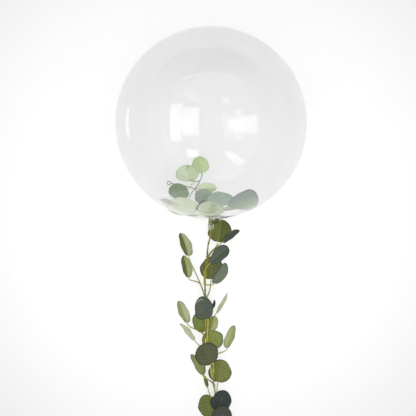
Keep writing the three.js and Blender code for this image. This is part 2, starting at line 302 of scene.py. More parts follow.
class Value:
    """A node's output in a formula. Its operators add Math nodes."""

    def __init__(self, wiring: "Wiring", socket: bpy.types.NodeSocket) -> None:
        """Keeps the wiring and the socket."""
        self.wiring, self.socket = wiring, socket

    def maths(self, operation: str, *others: "Value | float") -> "Value":
        """One Math node of this value and others."""
        return self.wiring.node("Math", {"operation": operation}, dict(enumerate((self, *others))))

    def __add__(self, other: "Value | float") -> "Value":
        """Sum."""
        return self.maths("ADD", other)

    __radd__ = __add__

    def __mul__(self, other: "Value | float") -> "Value":
        """Product."""
        return self.maths("MULTIPLY", other)

    __rmul__ = __mul__

    def __sub__(self, other: "Value | float") -> "Value":
        """Difference."""
        return self.maths("SUBTRACT", other)

    def __rsub__(self, other: float) -> "Value":
        """Difference the other way round."""
        return self.maths("MULTIPLY_ADD", -1.0, other)

    def __abs__(self) -> "Value":
        """Size without its sign."""
        return self.maths("ABSOLUTE")

    def fraction(self) -> "Value":
        """What is past the whole number."""
        return self.maths("FRACT")

    def eased(self, low: float, high: float, start: float = 0.0, end: float = 1.0) -> "Value":
        """A smooth step from start, at low, to end, at high."""
        inputs = {"Value": self, "From Min": low, "From Max": high, "To Min": start, "To Max": end}
        return self.wiring.node("MapRange", {"interpolation_type": "SMOOTHSTEP"}, inputs)


class Wiring:
    """The nodes of one material, or of the world."""

    def __init__(self, name: str, world: bpy.types.World | None = None) -> None:
        """Starts with an empty tree: the world's, or that of a new material."""
        self.material = world or bpy.data.materials.new(name)
        self.material.use_nodes = True
        self.tree = self.material.node_tree
        self.tree.nodes.clear()

    def node(
        self,
        kind: str,
        settings: dict[str, object] | None = None,
        inputs: dict[str | int, object] | None = None,
        output: str | int = 0,
    ) -> Value:
        """Adds one node.

        Args:
            kind: the node's type, without ShaderNode.
            settings: its own settings, made first.
            inputs: a value or another node's output for each named or numbered socket.
            output: which output is wanted.

        Returns:
            That output.
        """
        made = self.tree.nodes.new(f"ShaderNode{kind}")
        for key, value in (settings or {}).items():
            setattr(made, key, value)
        for key, value in (inputs or {}).items():
            if isinstance(value, Value):
                self.tree.links.new(value.socket, made.inputs[key])
            else:
                made.inputs[key].default_value = value
        return Value(self, made.outputs[output])

    def blend(self, share: Value | float, first: object, second: object, kind: str = "MIX") -> Value:
        """A mix of two colours: (1 - share) of the first and share of the second."""
        settings = {"data_type": "RGBA", "blend_type": kind}
        return self.node("Mix", settings, {0: share, 6: first, 7: second}, 2)

    def scaled(self, colour: Value, by: Value | float) -> Value:
        """A colour times a number."""
        return self.node("VectorMath", {"operation": "SCALE"}, {0: colour, 3: by})

    def spot(self, scale: float, detail: float = 2.0, stretch: Colour | None = None) -> Value:
        """Cloudy noise on the piece's own coordinates, 0 to 1."""
        where = self.node("TexCoord", output="Object")
        if stretch:
            where = self.node("VectorMath", {"operation": "MULTIPLY"}, {0: where, 1: stretch})
        return self.node("TexNoise", None, {"Vector": where, "Scale": scale, "Detail": detail})

    def tone(self) -> Value:
        """The colour kept at each point of the mesh."""
        return self.node("Attribute", {"attribute_name": "tone"}, None, "Color")

    def place(self) -> tuple[Value, Value]:
        """The two pattern places of the mesh."""
        at = self.node("UVMap", {"uv_map": "place"})
        parts = self.node("SeparateXYZ", None, {0: at}).socket.node
        return Value(self, parts.outputs[0]), Value(self, parts.outputs[1])

    def raised(self, height: Value, strength: float, distance_mm: float) -> Value:
        """The surface's facing once its height goes up and down by so many millimetres."""
        inputs = {"Strength": strength, "Distance": distance_mm * MM, "Height": height}
        return self.node("Bump", None, inputs)

    def finish(self, **sockets: object) -> bpy.types.Material:
        """Closes the tree with a Principled shader, the spaces of its sockets as underscores."""
        inputs = {key.replace("_", " "): value for key, value in sockets.items()}
        shader = self.node("BsdfPrincipled", None, inputs)
        self.node_output(shader)
        return self.material

    def node_output(self, shader: Value) -> None:
        """Links a shader to the material's output."""
        out = self.tree.nodes.new("ShaderNodeOutputMaterial")
        self.tree.links.new(shader.socket, out.inputs["Surface"])


@dataclass(frozen=True)
class FilmFinish:
    """Clear bubble film: almost all the light goes straight through."""

    name: str = "clear_film"
    clarity: float = 0.95
    tint: Colour = (0.904, 0.906, 0.905)
    roughness: float = 0.02
    bend: float = 1.33

    def material(self) -> bpy.types.Material:
        """A Principled shader with plain values."""
        return Wiring(self.name).finish(
            Base_Color=(*self.tint, 1),
            Transmission_Weight=self.clarity,
            Roughness=self.roughness,
            IOR=self.bend,
        )


@dataclass(frozen=True)
class LeafFinish:
    """One side of a leaf: its own tone, clouded, with side veins, a midrib and a darker rim."""

    name: str
    vein_count: float
    vein_gain: float
    midrib: Colour
    midrib_share: float
    rim: float
    cloud: float
    roughness: float
    relief: float = 0.35

    def material(self) -> bpy.types.Material:
        """The side veins are where the fraction of n (y - 0.8 |x| + 0.25 x^2), shifted a little by
        noise, passes one half, with x across the leaf and y along it, both from -1 to 1."""
        w = Wiring(self.name)
        u, v = w.place()
        x, y = abs(u * 2 - 1), v * 2 - 1
        out = (x * x + y * y).maths("SQRT")
        cloud, fine = w.spot(70, 3), w.spot(900, 2)
        run = (y - x * 0.8 + x * x * 0.25) * self.vein_count + cloud * 0.35
        off = abs(run.fraction() - 0.5)
        vein = off.eased(0.0, 0.17, 1, 0) * out.eased(0.72, 0.93, 1, 0) * x.eased(0.01, 0.05)
        inner = abs(out + cloud * 0.06 - 0.9).eased(0.0, 0.03, 1, 0)
        rib = x.eased(0.008, 0.035, 1, 0) * y.eased(0.1, 0.95, 1, 0)
        bright = cloud * self.cloud + (1 - self.cloud / 2) + (fine - 0.5) * 0.25
        bright = (bright + vein * self.vein_gain + inner * 0.12) * out.eased(0.87, 0.98, 1, self.rim)
        colour = w.blend(rib * self.midrib_share, w.scaled(w.tone(), bright), (*self.midrib, 1))
        height = vein * 0.6 + inner * 0.3 + rib + fine * 0.25 + cloud * 0.5
        return w.finish(
            Base_Color=colour,
            Roughness=cloud * 0.25 + (self.roughness - 0.12),
            Normal=w.raised(height, self.relief, 0.5),
            Specular_IOR_Level=0.12,
        )


LEAF_TOP = LeafFinish(
    name="leaf_top",
    vein_count=2.7,
    vein_gain=0.34,
    midrib=(0.16, 0.19, 0.11),
    midrib_share=0.3,
    rim=0.5,
    cloud=0.6,
    roughness=0.58,
)
LEAF_UNDERSIDE = LeafFinish(
    name="leaf_underside",
    vein_count=3.5,
    vein_gain=0.5,
    midrib=(0.34, 0.33, 0.12),
    midrib_share=0.4,
    rim=0.42,
    cloud=0.75,
    roughness=0.62,
)
INNER_TOP = LeafFinish(
    name="inner_leaf_top",
    vein_count=5,
    vein_gain=0.14,
    midrib=(0.5, 0.52, 0.2),
    midrib_share=0.4,
    rim=0.75,
    cloud=0.3,
    roughness=0.6,
)
INNER_UNDERSIDE = replace(INNER_TOP, name="inner_leaf_underside", vein_gain=0.2)


@dataclass(frozen=True)
class BarkFinish:
    """Green wood: its own tone, streaked along the stem, with small brown specks."""

    name: str
    streak: float = 0.6
    speck: Colour = (0.13, 0.1, 0.03)
    roughness: float = 0.5

    def material(self) -> bpy.types.Material:
        """Noise stretched along Y gives the streaks, and the peaks of a finer one the specks."""
        w = Wiring(self.name)
        streak, fine = w.spot(260, 3, (1, 0.12, 1)), w.spot(420, 2)
        bright = streak * self.streak + (1 - self.streak / 2)
        speck = fine.eased(0.62, 0.74)
        colour = w.blend(speck * 0.5, w.scaled(w.tone(), bright), (*self.speck, 1))
        return w.finish(
            Base_Color=colour,
            Roughness=fine * 0.3 + (self.roughness - 0.15),
            Normal=w.raised(streak + speck * 0.5, 0.5, 0.25),
            Specular_IOR_Level=0.25,
        )


@dataclass(frozen=True)
class TwineFinish:
    """Waxed twine: three strands twisted together."""

    name: str = "waxed_twine"
    strands: float = 3
    pitch_mm: float = 2.6

    def material(self) -> bpy.types.Material:
        """The strands rise as |fraction of (strands u + v / pitch) - 0.5|, u round and v along, and
        their colour is painted darker into the grooves between them, as shade.
        """
        w = Wiring(self.name)
        u, v = w.place()
        strand = abs((u * self.strands + v * (1 / self.pitch_mm)).fraction() - 0.5) * 2
        fine = w.spot(1500, 2)
        # painted shade: the colour runs from 1.1 on each strand's crest down to 0.55 in the grooves
        bright = strand.eased(0.5, 1.0, 1.1, 0.55) + (fine - 0.5) * 0.5
        return w.finish(
            Base_Color=w.scaled(w.tone(), bright),
            Roughness=fine * 0.2 + 0.5,
            Normal=w.raised(1 - strand, 0.6, 0.3),
        )


@dataclass(frozen=True)
class Look:
    """How the side of a leaf that shows is coloured: its left and right halves as displayed, when it
    grows up the picture, which on a folded leaf carry the light and shade of each slope as painted light
    and shade, how bright its rim is beside them, the other side, and the colour of a lip that is curled
    over near its tip, a painted highlight."""

    left: Colour
    right: Colour
    rim: float = 0.6
    other: Colour = (112, 124, 74)
    lip: Colour | None = None


@dataclass(frozen=True)
class Leaf:
    """A leaf of the garland. Its foot stands from the collar (right, back towards the balloon, up);
    turn, rise and roll say how it grows; long and wide are shares of the usual leaf; its edges fold
    up and its middle arches by millimetres. With off it springs from an earlier leaf's twig, and
    fullness says how much broader it is towards its foot."""

    foot: Colour
    turn: float
    rise: float
    roll: float
    long: float
    wide: float
    fold: float
    arch: float
    look: Look
    off: tuple[int, float] | None = None
    fullness: float = 0.12


DUSTY_TOP, MOSSY_BACK = (84, 94, 82), (100, 112, 64)

OLIVE = Look((101, 106, 59), (84, 93, 51), other=DUSTY_TOP)
OLIVE_B = Look((102, 110, 63), (104, 113, 64), other=DUSTY_TOP)
GRASS = Look((119, 130, 68), (115, 127, 66), other=DUSTY_TOP)
DARK_OLIVE = Look((81, 86, 63), (83, 89, 65), 0.75, MOSSY_BACK)
COAL_OLIVE = Look((68, 72, 62), (70, 74, 64), 0.75, MOSSY_BACK)
BROWN_OLIVE = Look((100, 105, 59), (96, 98, 66), 0.6)
SLATE = Look((82, 90, 76), (78, 88, 79), 0.7)
DEEP_SLATE = Look((96, 104, 94), (86, 96, 87), 0.7)
# the curled lip's pale colour is a painted highlight along the curl
CURLED = replace(SLATE, lip=(212, 219, 198))
BLACK_GREEN = Look((56, 63, 59), (58, 65, 62), 0.8)
GREY_GREEN = Look((90, 97, 83), (80, 89, 79), 0.6)
SAGE = Look((104, 115, 96), (106, 118, 100), 0.6)
YELLOW_GREEN = Look((132, 138, 58), (128, 138, 78), 0.7)
# a green leaf whose pale right half is a painted highlight
GREEN_WITH_HIGHLIT_HALF = Look((122, 134, 80), (158, 166, 118), 0.7)
PALE_OLIVE = Look((92, 99, 56), (148, 157, 109), 0.7)
PALE_HALF = Look((138, 146, 98), (164, 170, 134), 0.7)
PALE = Look((178, 183, 148), (172, 178, 142), 0.75)
# dark olive on the shaded slope of a folded leaf and pale on the slope that catches the light: painted
# light and shade
OLIVE_WITH_LIT_HALF = Look((93, 99, 54), (158, 164, 127), 0.7)
TWO_TONE_BACK = Look((158, 164, 114), (148, 152, 104), 0.7)
MOSS = Look((111, 118, 62), (116, 123, 71), 0.6)
BRIGHT = Look((197, 202, 166), (190, 196, 158), 0.8)
COAL = Look((48, 54, 48), (48, 54, 48), 0.9, (48, 54, 48))
FADED = Look((126, 134, 82), (122, 130, 80), 0.7)


@dataclass(frozen=True)
class Spray:
    """A spray: where it clips on, as a share of the stem's length past the tie, how far its twigs
    swing out as they leave the collar, and its leaves."""

    along: float
    spread: float
    leaves: tuple[Leaf, ...]


SPRAYS = (
    Spray(0.0231, 9, (Leaf((24, 19, 26), -105, 0, 0, 0.36, 0.22, 1, 1, DARK_OLIVE),)),
    Spray(0.1462, 2, (
        Leaf((31, 54, 12), 10, 20, 180, 1.1, 1.1, 2, 3, OLIVE),
        Leaf((45, 56, 38), 56, 18, -66, 0.92, 0.72, 3, 2, GREY_GREEN),
    )),
    Spray(0.2846, 16, (
        Leaf((-47, 123, 44), -18, 12, 126, 1.12, 0.92, 7, 3, OLIVE_WITH_LIT_HALF),
        Leaf((-48, 61, 13), -12, 4, 126, 1.04, 0.84, 5, 2, PALE_OLIVE, (0, 0.3)),
        Leaf((15, 55, 1), 4, 10, 180, 1.08, 1.09, 1, 3, BROWN_OLIVE),
        Leaf((12, 104, 64), 50, 14, -42, 1.12, 0.82, 3, 3, DEEP_SLATE, None, -0.3),
        Leaf((23, 45, 24), 28, 10, 52, 1.1, 0.86, 5, 4, SAGE, (3, 0.3)),
    )),
    Spray(0.4256, 10, (
        Leaf((-3, 54, 18), -8, 14, 8, 1.12, 0.92, 2, 3, CURLED),
        Leaf((-54, 43, 6), -20, 8, 126, 1.1, 0.88, 6, 2, PALE_HALF),
        Leaf((28, 71, 6), 28, 8, 106, 1.07, 0.54, 3, 2, BRIGHT),
        Leaf((19, 84, 3), 8, 2, 66, 0.4, 0.34, 1, 1, COAL),
    )),
    Spray(0.5026, 10, (
        Leaf((-16, 77, -8), -24, -4, 180, 0.94, 0.86, 1, 2, GRASS),
        Leaf((-2, 80, -4), 18, 0, 184, 0.7, 0.56, 1, 2, GREEN_WITH_HIGHLIT_HALF),
        Leaf((-47, 54, 2), -40, 4, 116, 1.0, 0.74, 5, 2, PALE),
        Leaf((18, 27, -12), -30, 0, 180, 0.94, 1.08, 1, 2, YELLOW_GREEN),
        Leaf((46, 32, 4), 16, 6, -125, 1.1, 0.84, 6, 2, TWO_TONE_BACK),
    )),
    Spray(0.5962, 6, (
        Leaf((-5, 64, 21), -29, 8, 4, 1.02, 1.18, 2, 4, DARK_OLIVE, None, -0.08),
        Leaf((-32, 29, 3), -28, 4, 122, 1.1, 0.84, 5, 2, FADED),
        Leaf((-29, 30, -9), 4, 6, 112, 0.48, 0.3, 2, 1, MOSS),
    )),
    Spray(0.7051, 8, (
        Leaf((-24, 76, -13), -16, 0, 140, 0.6, 0.24, 1, 1, OLIVE),
        Leaf((5, 91, -13), 10, 0, 180, 1.06, 1.12, 1, 3, MOSS),
    )),
    Spray(0.7885, 6, (
        Leaf((7, 81, 14), 22, 6, 0, 1.02, 0.98, 2, 3, BLACK_GREEN),
        Leaf((-8, 57, -14), -18, 0, 180, 1.08, 0.92, 1, 2, OLIVE_B),
        Leaf((12, 38, 26), 17, 10, -4, 1.06, 1.0, 2, 4, COAL_OLIVE),
    )),
)

END_LEAVES = (
    Leaf((-31, 30, 1), -52, 2, 140, 1.02, 0.94, 3, 2, OLIVE),
    Leaf((26, 12, 2), 34, 6, -128, 0.98, 0.8, 5, 2, TWO_TONE_BACK),
    Leaf((3, 26, 17), -12, 14, 6, 0.94, 0.98, 2, 3, SLATE),
)


@dataclass
class Envelope:
    """The sealed film: a ball with a shoulder, a gathered neck and a loose mouth. The CAD part's ball,
    neck and stretch, a little larger than the film's, say where the neck, the tie and the stem are."""

    radius: float = 246.9
    cad_radius: float = 247.5
    cad_neck: float = 5.5
    cad_stretch: float = 1.006
    middle_height: float = 244.45
    stretch: float = 1.004
    tilt: float = 22
    wall: float = 0.15
    neck_radius: float = 5.4
    neck_length: float = 14
    shoulder: float = 22
    mouth_length: float = 14
    mouth_width: float = 14.6
    mouth_thickness: float = 3.0
    mouth_wall: float = 0.4
    mouth_overlap: float = 4
    rim_radius: float = 0.65
    floor_gap: float = 0.1
    rest_softness: float = 1.2
    pleats: int = 20
    pleat_depth: float = 0.9
    pleat_reach: float = 70
    columns: int = 160
    rows: int = 110

    @property
    def neck_start(self) -> float:
        """Where the shoulder's arc meets the neck, from the middle, in the CAD part:
        sqrt((R + s)^2 - (n + s)^2), stretched along the neck's axis."""
        ball, neck = self.cad_radius + self.shoulder, self.cad_neck + self.shoulder
        return math.sqrt(ball**2 - neck**2) * self.cad_stretch

    @property
    def neck_end(self) -> float:
        """Where the gathered film opens into the mouth."""
        return self.neck_start + self.neck_length

    @property
    def middle(self) -> np.ndarray:
        """The middle of the ball."""
        return np.array([0, 0, self.middle_height])

    @property
    def axis(self) -> np.ndarray:
        """The direction from the neck to the far pole."""
        return turn_about(0, self.tilt)[:, 1]

    def placed(self, points: np.ndarray) -> np.ndarray:
        """Points of the balloon's own frame, whose neck points along -Y, in the part's frame.

        Args:
            points: the points.

        Returns:
            The points turned down by the tilt and lifted to the balloon's middle.
        """
        return points @ turn_about(0, self.tilt).T + self.middle

    def lathed(
        self, radii: np.ndarray, along: np.ndarray, flat: np.ndarray, pleat: np.ndarray
    ) -> np.ndarray:
        """A turned surface: radius r (1 + p cos(n a)) at angle a, pressed flat in Z by a share.

        Args:
            radii: the radius in each row.
            along: how far down the neck's axis each row is.
            flat: each row's share of its thickness.
            pleat: each row's share p that its pleats stand out.

        Returns:
            Points as rows, columns, 3, in the part's frame.
        """
        angle = 2 * np.pi * np.arange(self.columns) / self.columns
        wave = np.cos(self.pleats * angle) + 0.35 * np.cos(7 * angle + 1)
        r = radii[:, None] * (1 + pleat[:, None] * wave)
        points = np.stack(
            [r * np.sin(angle), -along[:, None] + 0 * r, r * np.cos(angle) * flat[:, None]], axis=-1
        )
        return self.placed(points)

    def shell(self, outer: np.ndarray, wall: float) -> np.ndarray:
        """The inner face of a wall: each point moved along its normal, du x dv made a unit vector, to
        the side where the middle row gets narrower."""
        du = np.gradient(outer, axis=0)
        dv = np.roll(outer, -1, axis=1) - np.roll(outer, 1, axis=1)
        step = wall * unit(np.cross(du, dv))
        row, far = len(outer) // 2, self.columns // 2
        faces = (outer + step, outer - step)
        return min(faces, key=lambda face: float(np.linalg.norm(face[row, 0] - face[row, far])))

    def rested(self, points: np.ndarray, floor: float) -> np.ndarray:
        """Keeps a surface over the floor by a smooth larger-of: z becomes (z + sqrt(z^2 + e)) / 2,
        with e the softness."""
        z = points[..., 2] - floor
        points = points.copy()
        points[..., 2] = floor + (z + np.sqrt(z * z + self.rest_softness)) / 2
        return points

    def bare(self, rows: np.ndarray, ends: tuple[np.ndarray, np.ndarray]) -> Skin:
        """A skin of one closed surface, with no pattern and a white tone."""
        skin = Skin()
        white = np.ones((*rows.shape[:2], 3))
        skin.add(rows, ends, np.zeros((len(rows), self.columns + 1, 2)), white)
        return skin

    def film(self) -> bpy.types.Object:
        """The ball and its neck: an outer skin from the far pole to the neck, and the inner one back.

        Returns:
            The clear piece, which casts no shadow.
        """
        big, small = self.radius + self.shoulder, self.neck_radius + self.shoulder
        lean = math.asin(small / big)
        body = np.linspace(0.012, math.pi - lean, self.rows)
        arc = np.linspace(math.pi / 2 - lean, 0, 15)[1:]
        drop = math.sqrt(big**2 - small**2)
        radii = np.concatenate([self.radius * np.sin(body), small - self.shoulder * np.cos(arc)])
        along = np.concatenate([-self.radius * np.cos(body), drop - self.shoulder * np.sin(arc)])
        radii = np.append(radii, [self.neck_radius] * 3)
        along = np.append(along * self.stretch, self.neck_start + np.array([3, 8, 13]))
        near = np.clip(1 - (self.neck_start - along) / self.pleat_reach, 0, 1)
        pleat = self.pleat_depth * near**2.2 / np.maximum(radii, self.neck_radius)
        outer = self.lathed(radii, along, np.ones_like(radii), pleat)
        inner = self.rested(self.shell(outer, self.wall), self.floor_gap + self.wall)
        rows = np.vstack([self.rested(outer, self.floor_gap), inner[::-1]])
        pole = np.array([0, self.radius * self.stretch, 0])
        ends = (self.placed(pole), self.placed(pole - np.array([0, self.wall, 0])))
        skin = self.bare(rows, ends)
        made = skin.build("film", [FilmFinish().material()], "film", ("balloon",))
        made.visible_shadow = False
        return made

    def mouth(self) -> bpy.types.Object:
        """The loose end of the film below the tie, drawn together in pleats, with a rolled rim.

        Returns:
            The piece.
        """
        t = np.linspace(0, 1, 26)
        flare = ease(0, 0.45, t)
        radii = (self.neck_radius + 0.2) + (self.mouth_width / 2 - self.neck_radius - 0.2) * flare
        reach = self.mouth_length + self.mouth_overlap - 0.9
        along = self.neck_end - self.mouth_overlap + reach * t
        flat = 1 + (self.mouth_thickness / self.mouth_width - 1) * flare
        pleat = 0.05 + 0.05 * np.sin(np.pi * t)
        outer = self.lathed(radii, along, flat, pleat)
        inner = self.shell(outer, self.mouth_wall)
        rows = np.vstack([inner[:1] * 0.5 + outer[:1] * 0.5, outer, inner[::-1]])
        skin = self.bare(rows, (rows[0].mean(0), inner[0].mean(0)))
        ring = self.lathed(radii[-1:] + 0.1, along[-1:] + 0.2, flat[-1:] * 1.05, pleat[-1:])[0]
        ring = np.vstack([ring, ring[:1]])
        skin.add_rod(ring, self.rim_radius, 8, np.ones(3), self.axis)
        finish = FilmFinish("gathered_film", clarity=0.98, tint=(0.86, 0.87, 0.82), roughness=0.04)
        made = skin.build("mouth", [finish.material()], "film", ("balloon",))
        made.visible_shadow = False
        return made

    def wall_height(self, x: float, y: float) -> float:
        """How high the film's lower wall is over a place on the floor: m - sqrt(R^2 - x^2 - y^2)."""
        return self.middle_height - math.sqrt(max(self.radius**2 - x * x - y * y, 0))

    def inward(self, point: np.ndarray) -> np.ndarray:
        """The direction from a point of the wall to the balloon's middle."""
        return unit(self.middle - point)


@dataclass
class Picture:
    """The photograph's view: a camera looking straight down, the balloon's far side at the top."""

    place: tuple[float, float, float] = (-7.8, -218.6, 2787)
    lens: float = 85
    sensor: float = 36
    across: int = 416

    @property
    def focal(self) -> float:
        """The lens in pixels: lens / sensor * width."""
        return self.lens / self.sensor * self.across

    @property
    def eye(self) -> np.ndarray:
        """Where the camera stands."""
        return np.array(self.place)

    def camera(self) -> None:
        """Sets up the scene's camera."""
        data = bpy.data.cameras.new("view")
        data.lens, data.sensor_width = self.lens, self.sensor
        data.dof.use_dof = False
        made = linked("view", data)
        made.location = [c * MM for c in self.place]
        bpy.context.scene.camera = made

    def ray(self, u: float, v: float) -> np.ndarray:
        """The direction seen at a pixel: ((u - w/2) / f, (w/2 - v) / f, -1)."""
        half = self.across / 2
        return unit(np.array([(u - half) / self.focal, (half - v) / self.focal, -1.0]))

    def at_height(self, u: float, v: float, z: float) -> np.ndarray:
        """The point seen at a pixel, at a height."""
        ray = self.ray(u, v)
        return self.eye + ray * (self.place[2] - z) / -ray[2]

    def on_wall(self, u: float, v: float, lift: float, envelope: Envelope) -> np.ndarray:
        """The point seen at a pixel just over the balloon's lower wall, found by a few rounds of
        taking the wall's height under the last guess.

        Args:
            u: pixels across.
            v: pixels down.
            lift: how far over the wall.
            envelope: the balloon.

        Returns:
            The point.
        """
        point = self.at_height(u, v, 60)
        for _ in range(12):
            point = self.at_height(u, v, envelope.wall_height(point[0], point[1]))
        return self.at_height(u, v, point[2] + lift)


@dataclass
class Placing:
    """Where a leaf goes: its turn, its foot's place, and how much it follows the balloon's wall."""

    turn: np.ndarray
    foot: np.ndarray
    length: float = 0
    curl: float = 0

    def placed(self, points: np.ndarray) -> np.ndarray:
        """A leaf's own points in the part's frame. They are lifted first by
        curl (x^2 + (y - n / 2)^2 - n^2 / 4), n being the leaf's length.

        Args:
            points: the points.

        Returns:
            The points in their place.
        """
        q = points.copy()
        q[..., 2] += self.curl * (q[..., 0] ** 2 + q[..., 1] ** 2 - q[..., 1] * self.length)
        return q @ self.turn.T + self.foot


@dataclass
class Blade:
    """The shape that every leaf shares: nearly round, broader towards its notched foot."""

    length: float = 62
    width: float = 58
    thickness: float = 0.8
    fullness: float = 0.12
    notch: float = 2.6
    wave: float = 0.9
    lip_place: float = 0.72
    lip_lift: float = 1.4
    lip_radius: float = 1.25
    rows: int = 34
    shares: tuple[float, ...] = (0, 0.025, 0.06, 0.12, 0.22, 0.34, 0.46, 0.58, 0.7, 0.82, 0.92, 0.98)

    def columns(self) -> tuple[np.ndarray, np.ndarray]:
        """How far across each column is, once round the leaf, and which side of it: 1, 0 or -1."""
        half = np.array(self.shares)
        top = np.concatenate([[-1], -half[:0:-1], half, [1]])
        under = top[-2:0:-1]
        side = np.concatenate([[0], np.ones(len(top) - 2), [0], -np.ones(len(under))])
        return np.concatenate([top, under]), side

    def lip(self, surface: np.ndarray) -> tuple[np.ndarray, np.ndarray]:
        """The line and the radii of a lip that is curled over near the tip, just above the leaf. Its
        pale colour is a painted highlight along the curl.
        """
        t = np.linspace(0, 1, 14)
        row = np.round((self.lip_place + 0.1 * np.sin(t * np.pi)) * (self.rows - 3)).astype(int)
        column = np.round(2 + t * 13).astype(int)
        line = smooth_line((surface[row, column] + np.array([0, 0, self.lip_lift]))[::4], 6)
        return line, self.lip_radius * np.sin(np.linspace(0.5, 2.8, len(line)))

    def add(
        self,
        skin: Skin,
        size: tuple[float, float],
        bend: tuple[float, float],
        look: Look,
        under_shows: bool,
        put: Placing,
        seed: int,
    ) -> None:
        """Adds one leaf. With s across and p along, both -1 to 1, a point stands at
        x = s sqrt(1 - p^2) (1 - fullness p) width / 2, its outline waved a little by sines of p, and
        y = (1 + p) length / 2, lifted by fold |s| sqrt(1 - p^2) + arch (1 - p^2). The midrib stands
        out below.

        Args:
            skin: the mesh it goes into.
            size: its length and width.
            bend: how far its edges fold up and its middle arches.
            look: its colours.
            under_shows: whether the photograph shows its underside.
            put: where the leaf goes.
            seed: a number that makes its waves its own.
        """
        length, width = size
        fold, arch = bend
        s, side = self.columns()
        p = -np.cos(np.linspace(0, np.pi, self.rows))[1:-1][:, None]
        open_ = np.sqrt(1 - p * p)
        px = s[None, :] * open_
        half = np.sign(s)[None, :]
        outline = 1 + 0.05 * np.sin(2.6 * p + seed * 1.3 + half * 1.1)
        outline = outline + 0.025 * np.sin(7 * p + seed * 2.1 + half)
        x = px * (1 - self.fullness * p) * outline * width / 2
        y = (1 + p) * length / 2 + 0 * x
        y = y + self.notch * bump(x, 0, 4.5) * np.exp(-(((1 + p) * length / 2) / 7))
        edge = np.abs(s)[None, :] ** 3 * open_
        waves = np.sin(3.2 * p + seed * 1.7) + 0.6 * np.sin(6.5 * p + seed * 2.3 + 2 * half)
        lift = fold * (np.sqrt(px * px + 0.003) - 0.05) + arch * (1 - (px * px + p * p)) * 0.35
        lift = lift + arch * (1 - p * p) * 0.65 + self.wave * edge * waves * min(1, width / 40)
        body = self.thickness / 2 * (1 - s[None, :] ** 8) * np.minimum(1, open_ * 2.5)
        rib = bump(x, 0, 1.1) * np.clip(1 - (1 + p) / 2, 0, 1) ** 0.6 * np.minimum(1, open_ * 3)
        z = lift + np.where(side > 0, body - 0.2 * rib, -body - 0.65 * rib)
        z = np.where(side[None, :] == 0, lift, z)
        rows = np.stack([x, y, z], axis=-1)
        if look.lip:
            line, thickness = self.lip(rows)
            # the lip's pale colour is a painted highlight
            skin.add_rod(put.placed(line), thickness, 8, pigment(look.lip))
        foot = np.array([0, self.notch * 0.9, fold * 0.005])
        tip = np.array([0, length, 0.0])
        seen = -1 if under_shows else 1
        # each half takes its displayed colour, which on a folded leaf holds the light and shade of that
        # slope as painted light and shade
        right = ease(-0.06, 0.06, px * seen)[..., None]
        tones = [pigment(shown, LEAF_SHEEN) for shown in (look.left, look.right, look.other)]
        shown = tones[0] * (1 - right) + tones[1] * right
        tone = np.where((side == seen)[None, :, None], shown, tones[2])
        tone = np.where((side == 0)[None, :, None], shown * look.rim, tone)
        place = np.stack([(px + 1) / 2, (p + 1) / 2 + 0 * px], axis=-1)
        place = np.concatenate([place, place[:, :1]], axis=1)
        finish = np.where(np.arange(len(s)) < len(self.shares) * 2, 0, 1)
        skin.add(put.placed(rows), tuple(put.placed(np.stack([foot, tip]))), place, tone, finish)


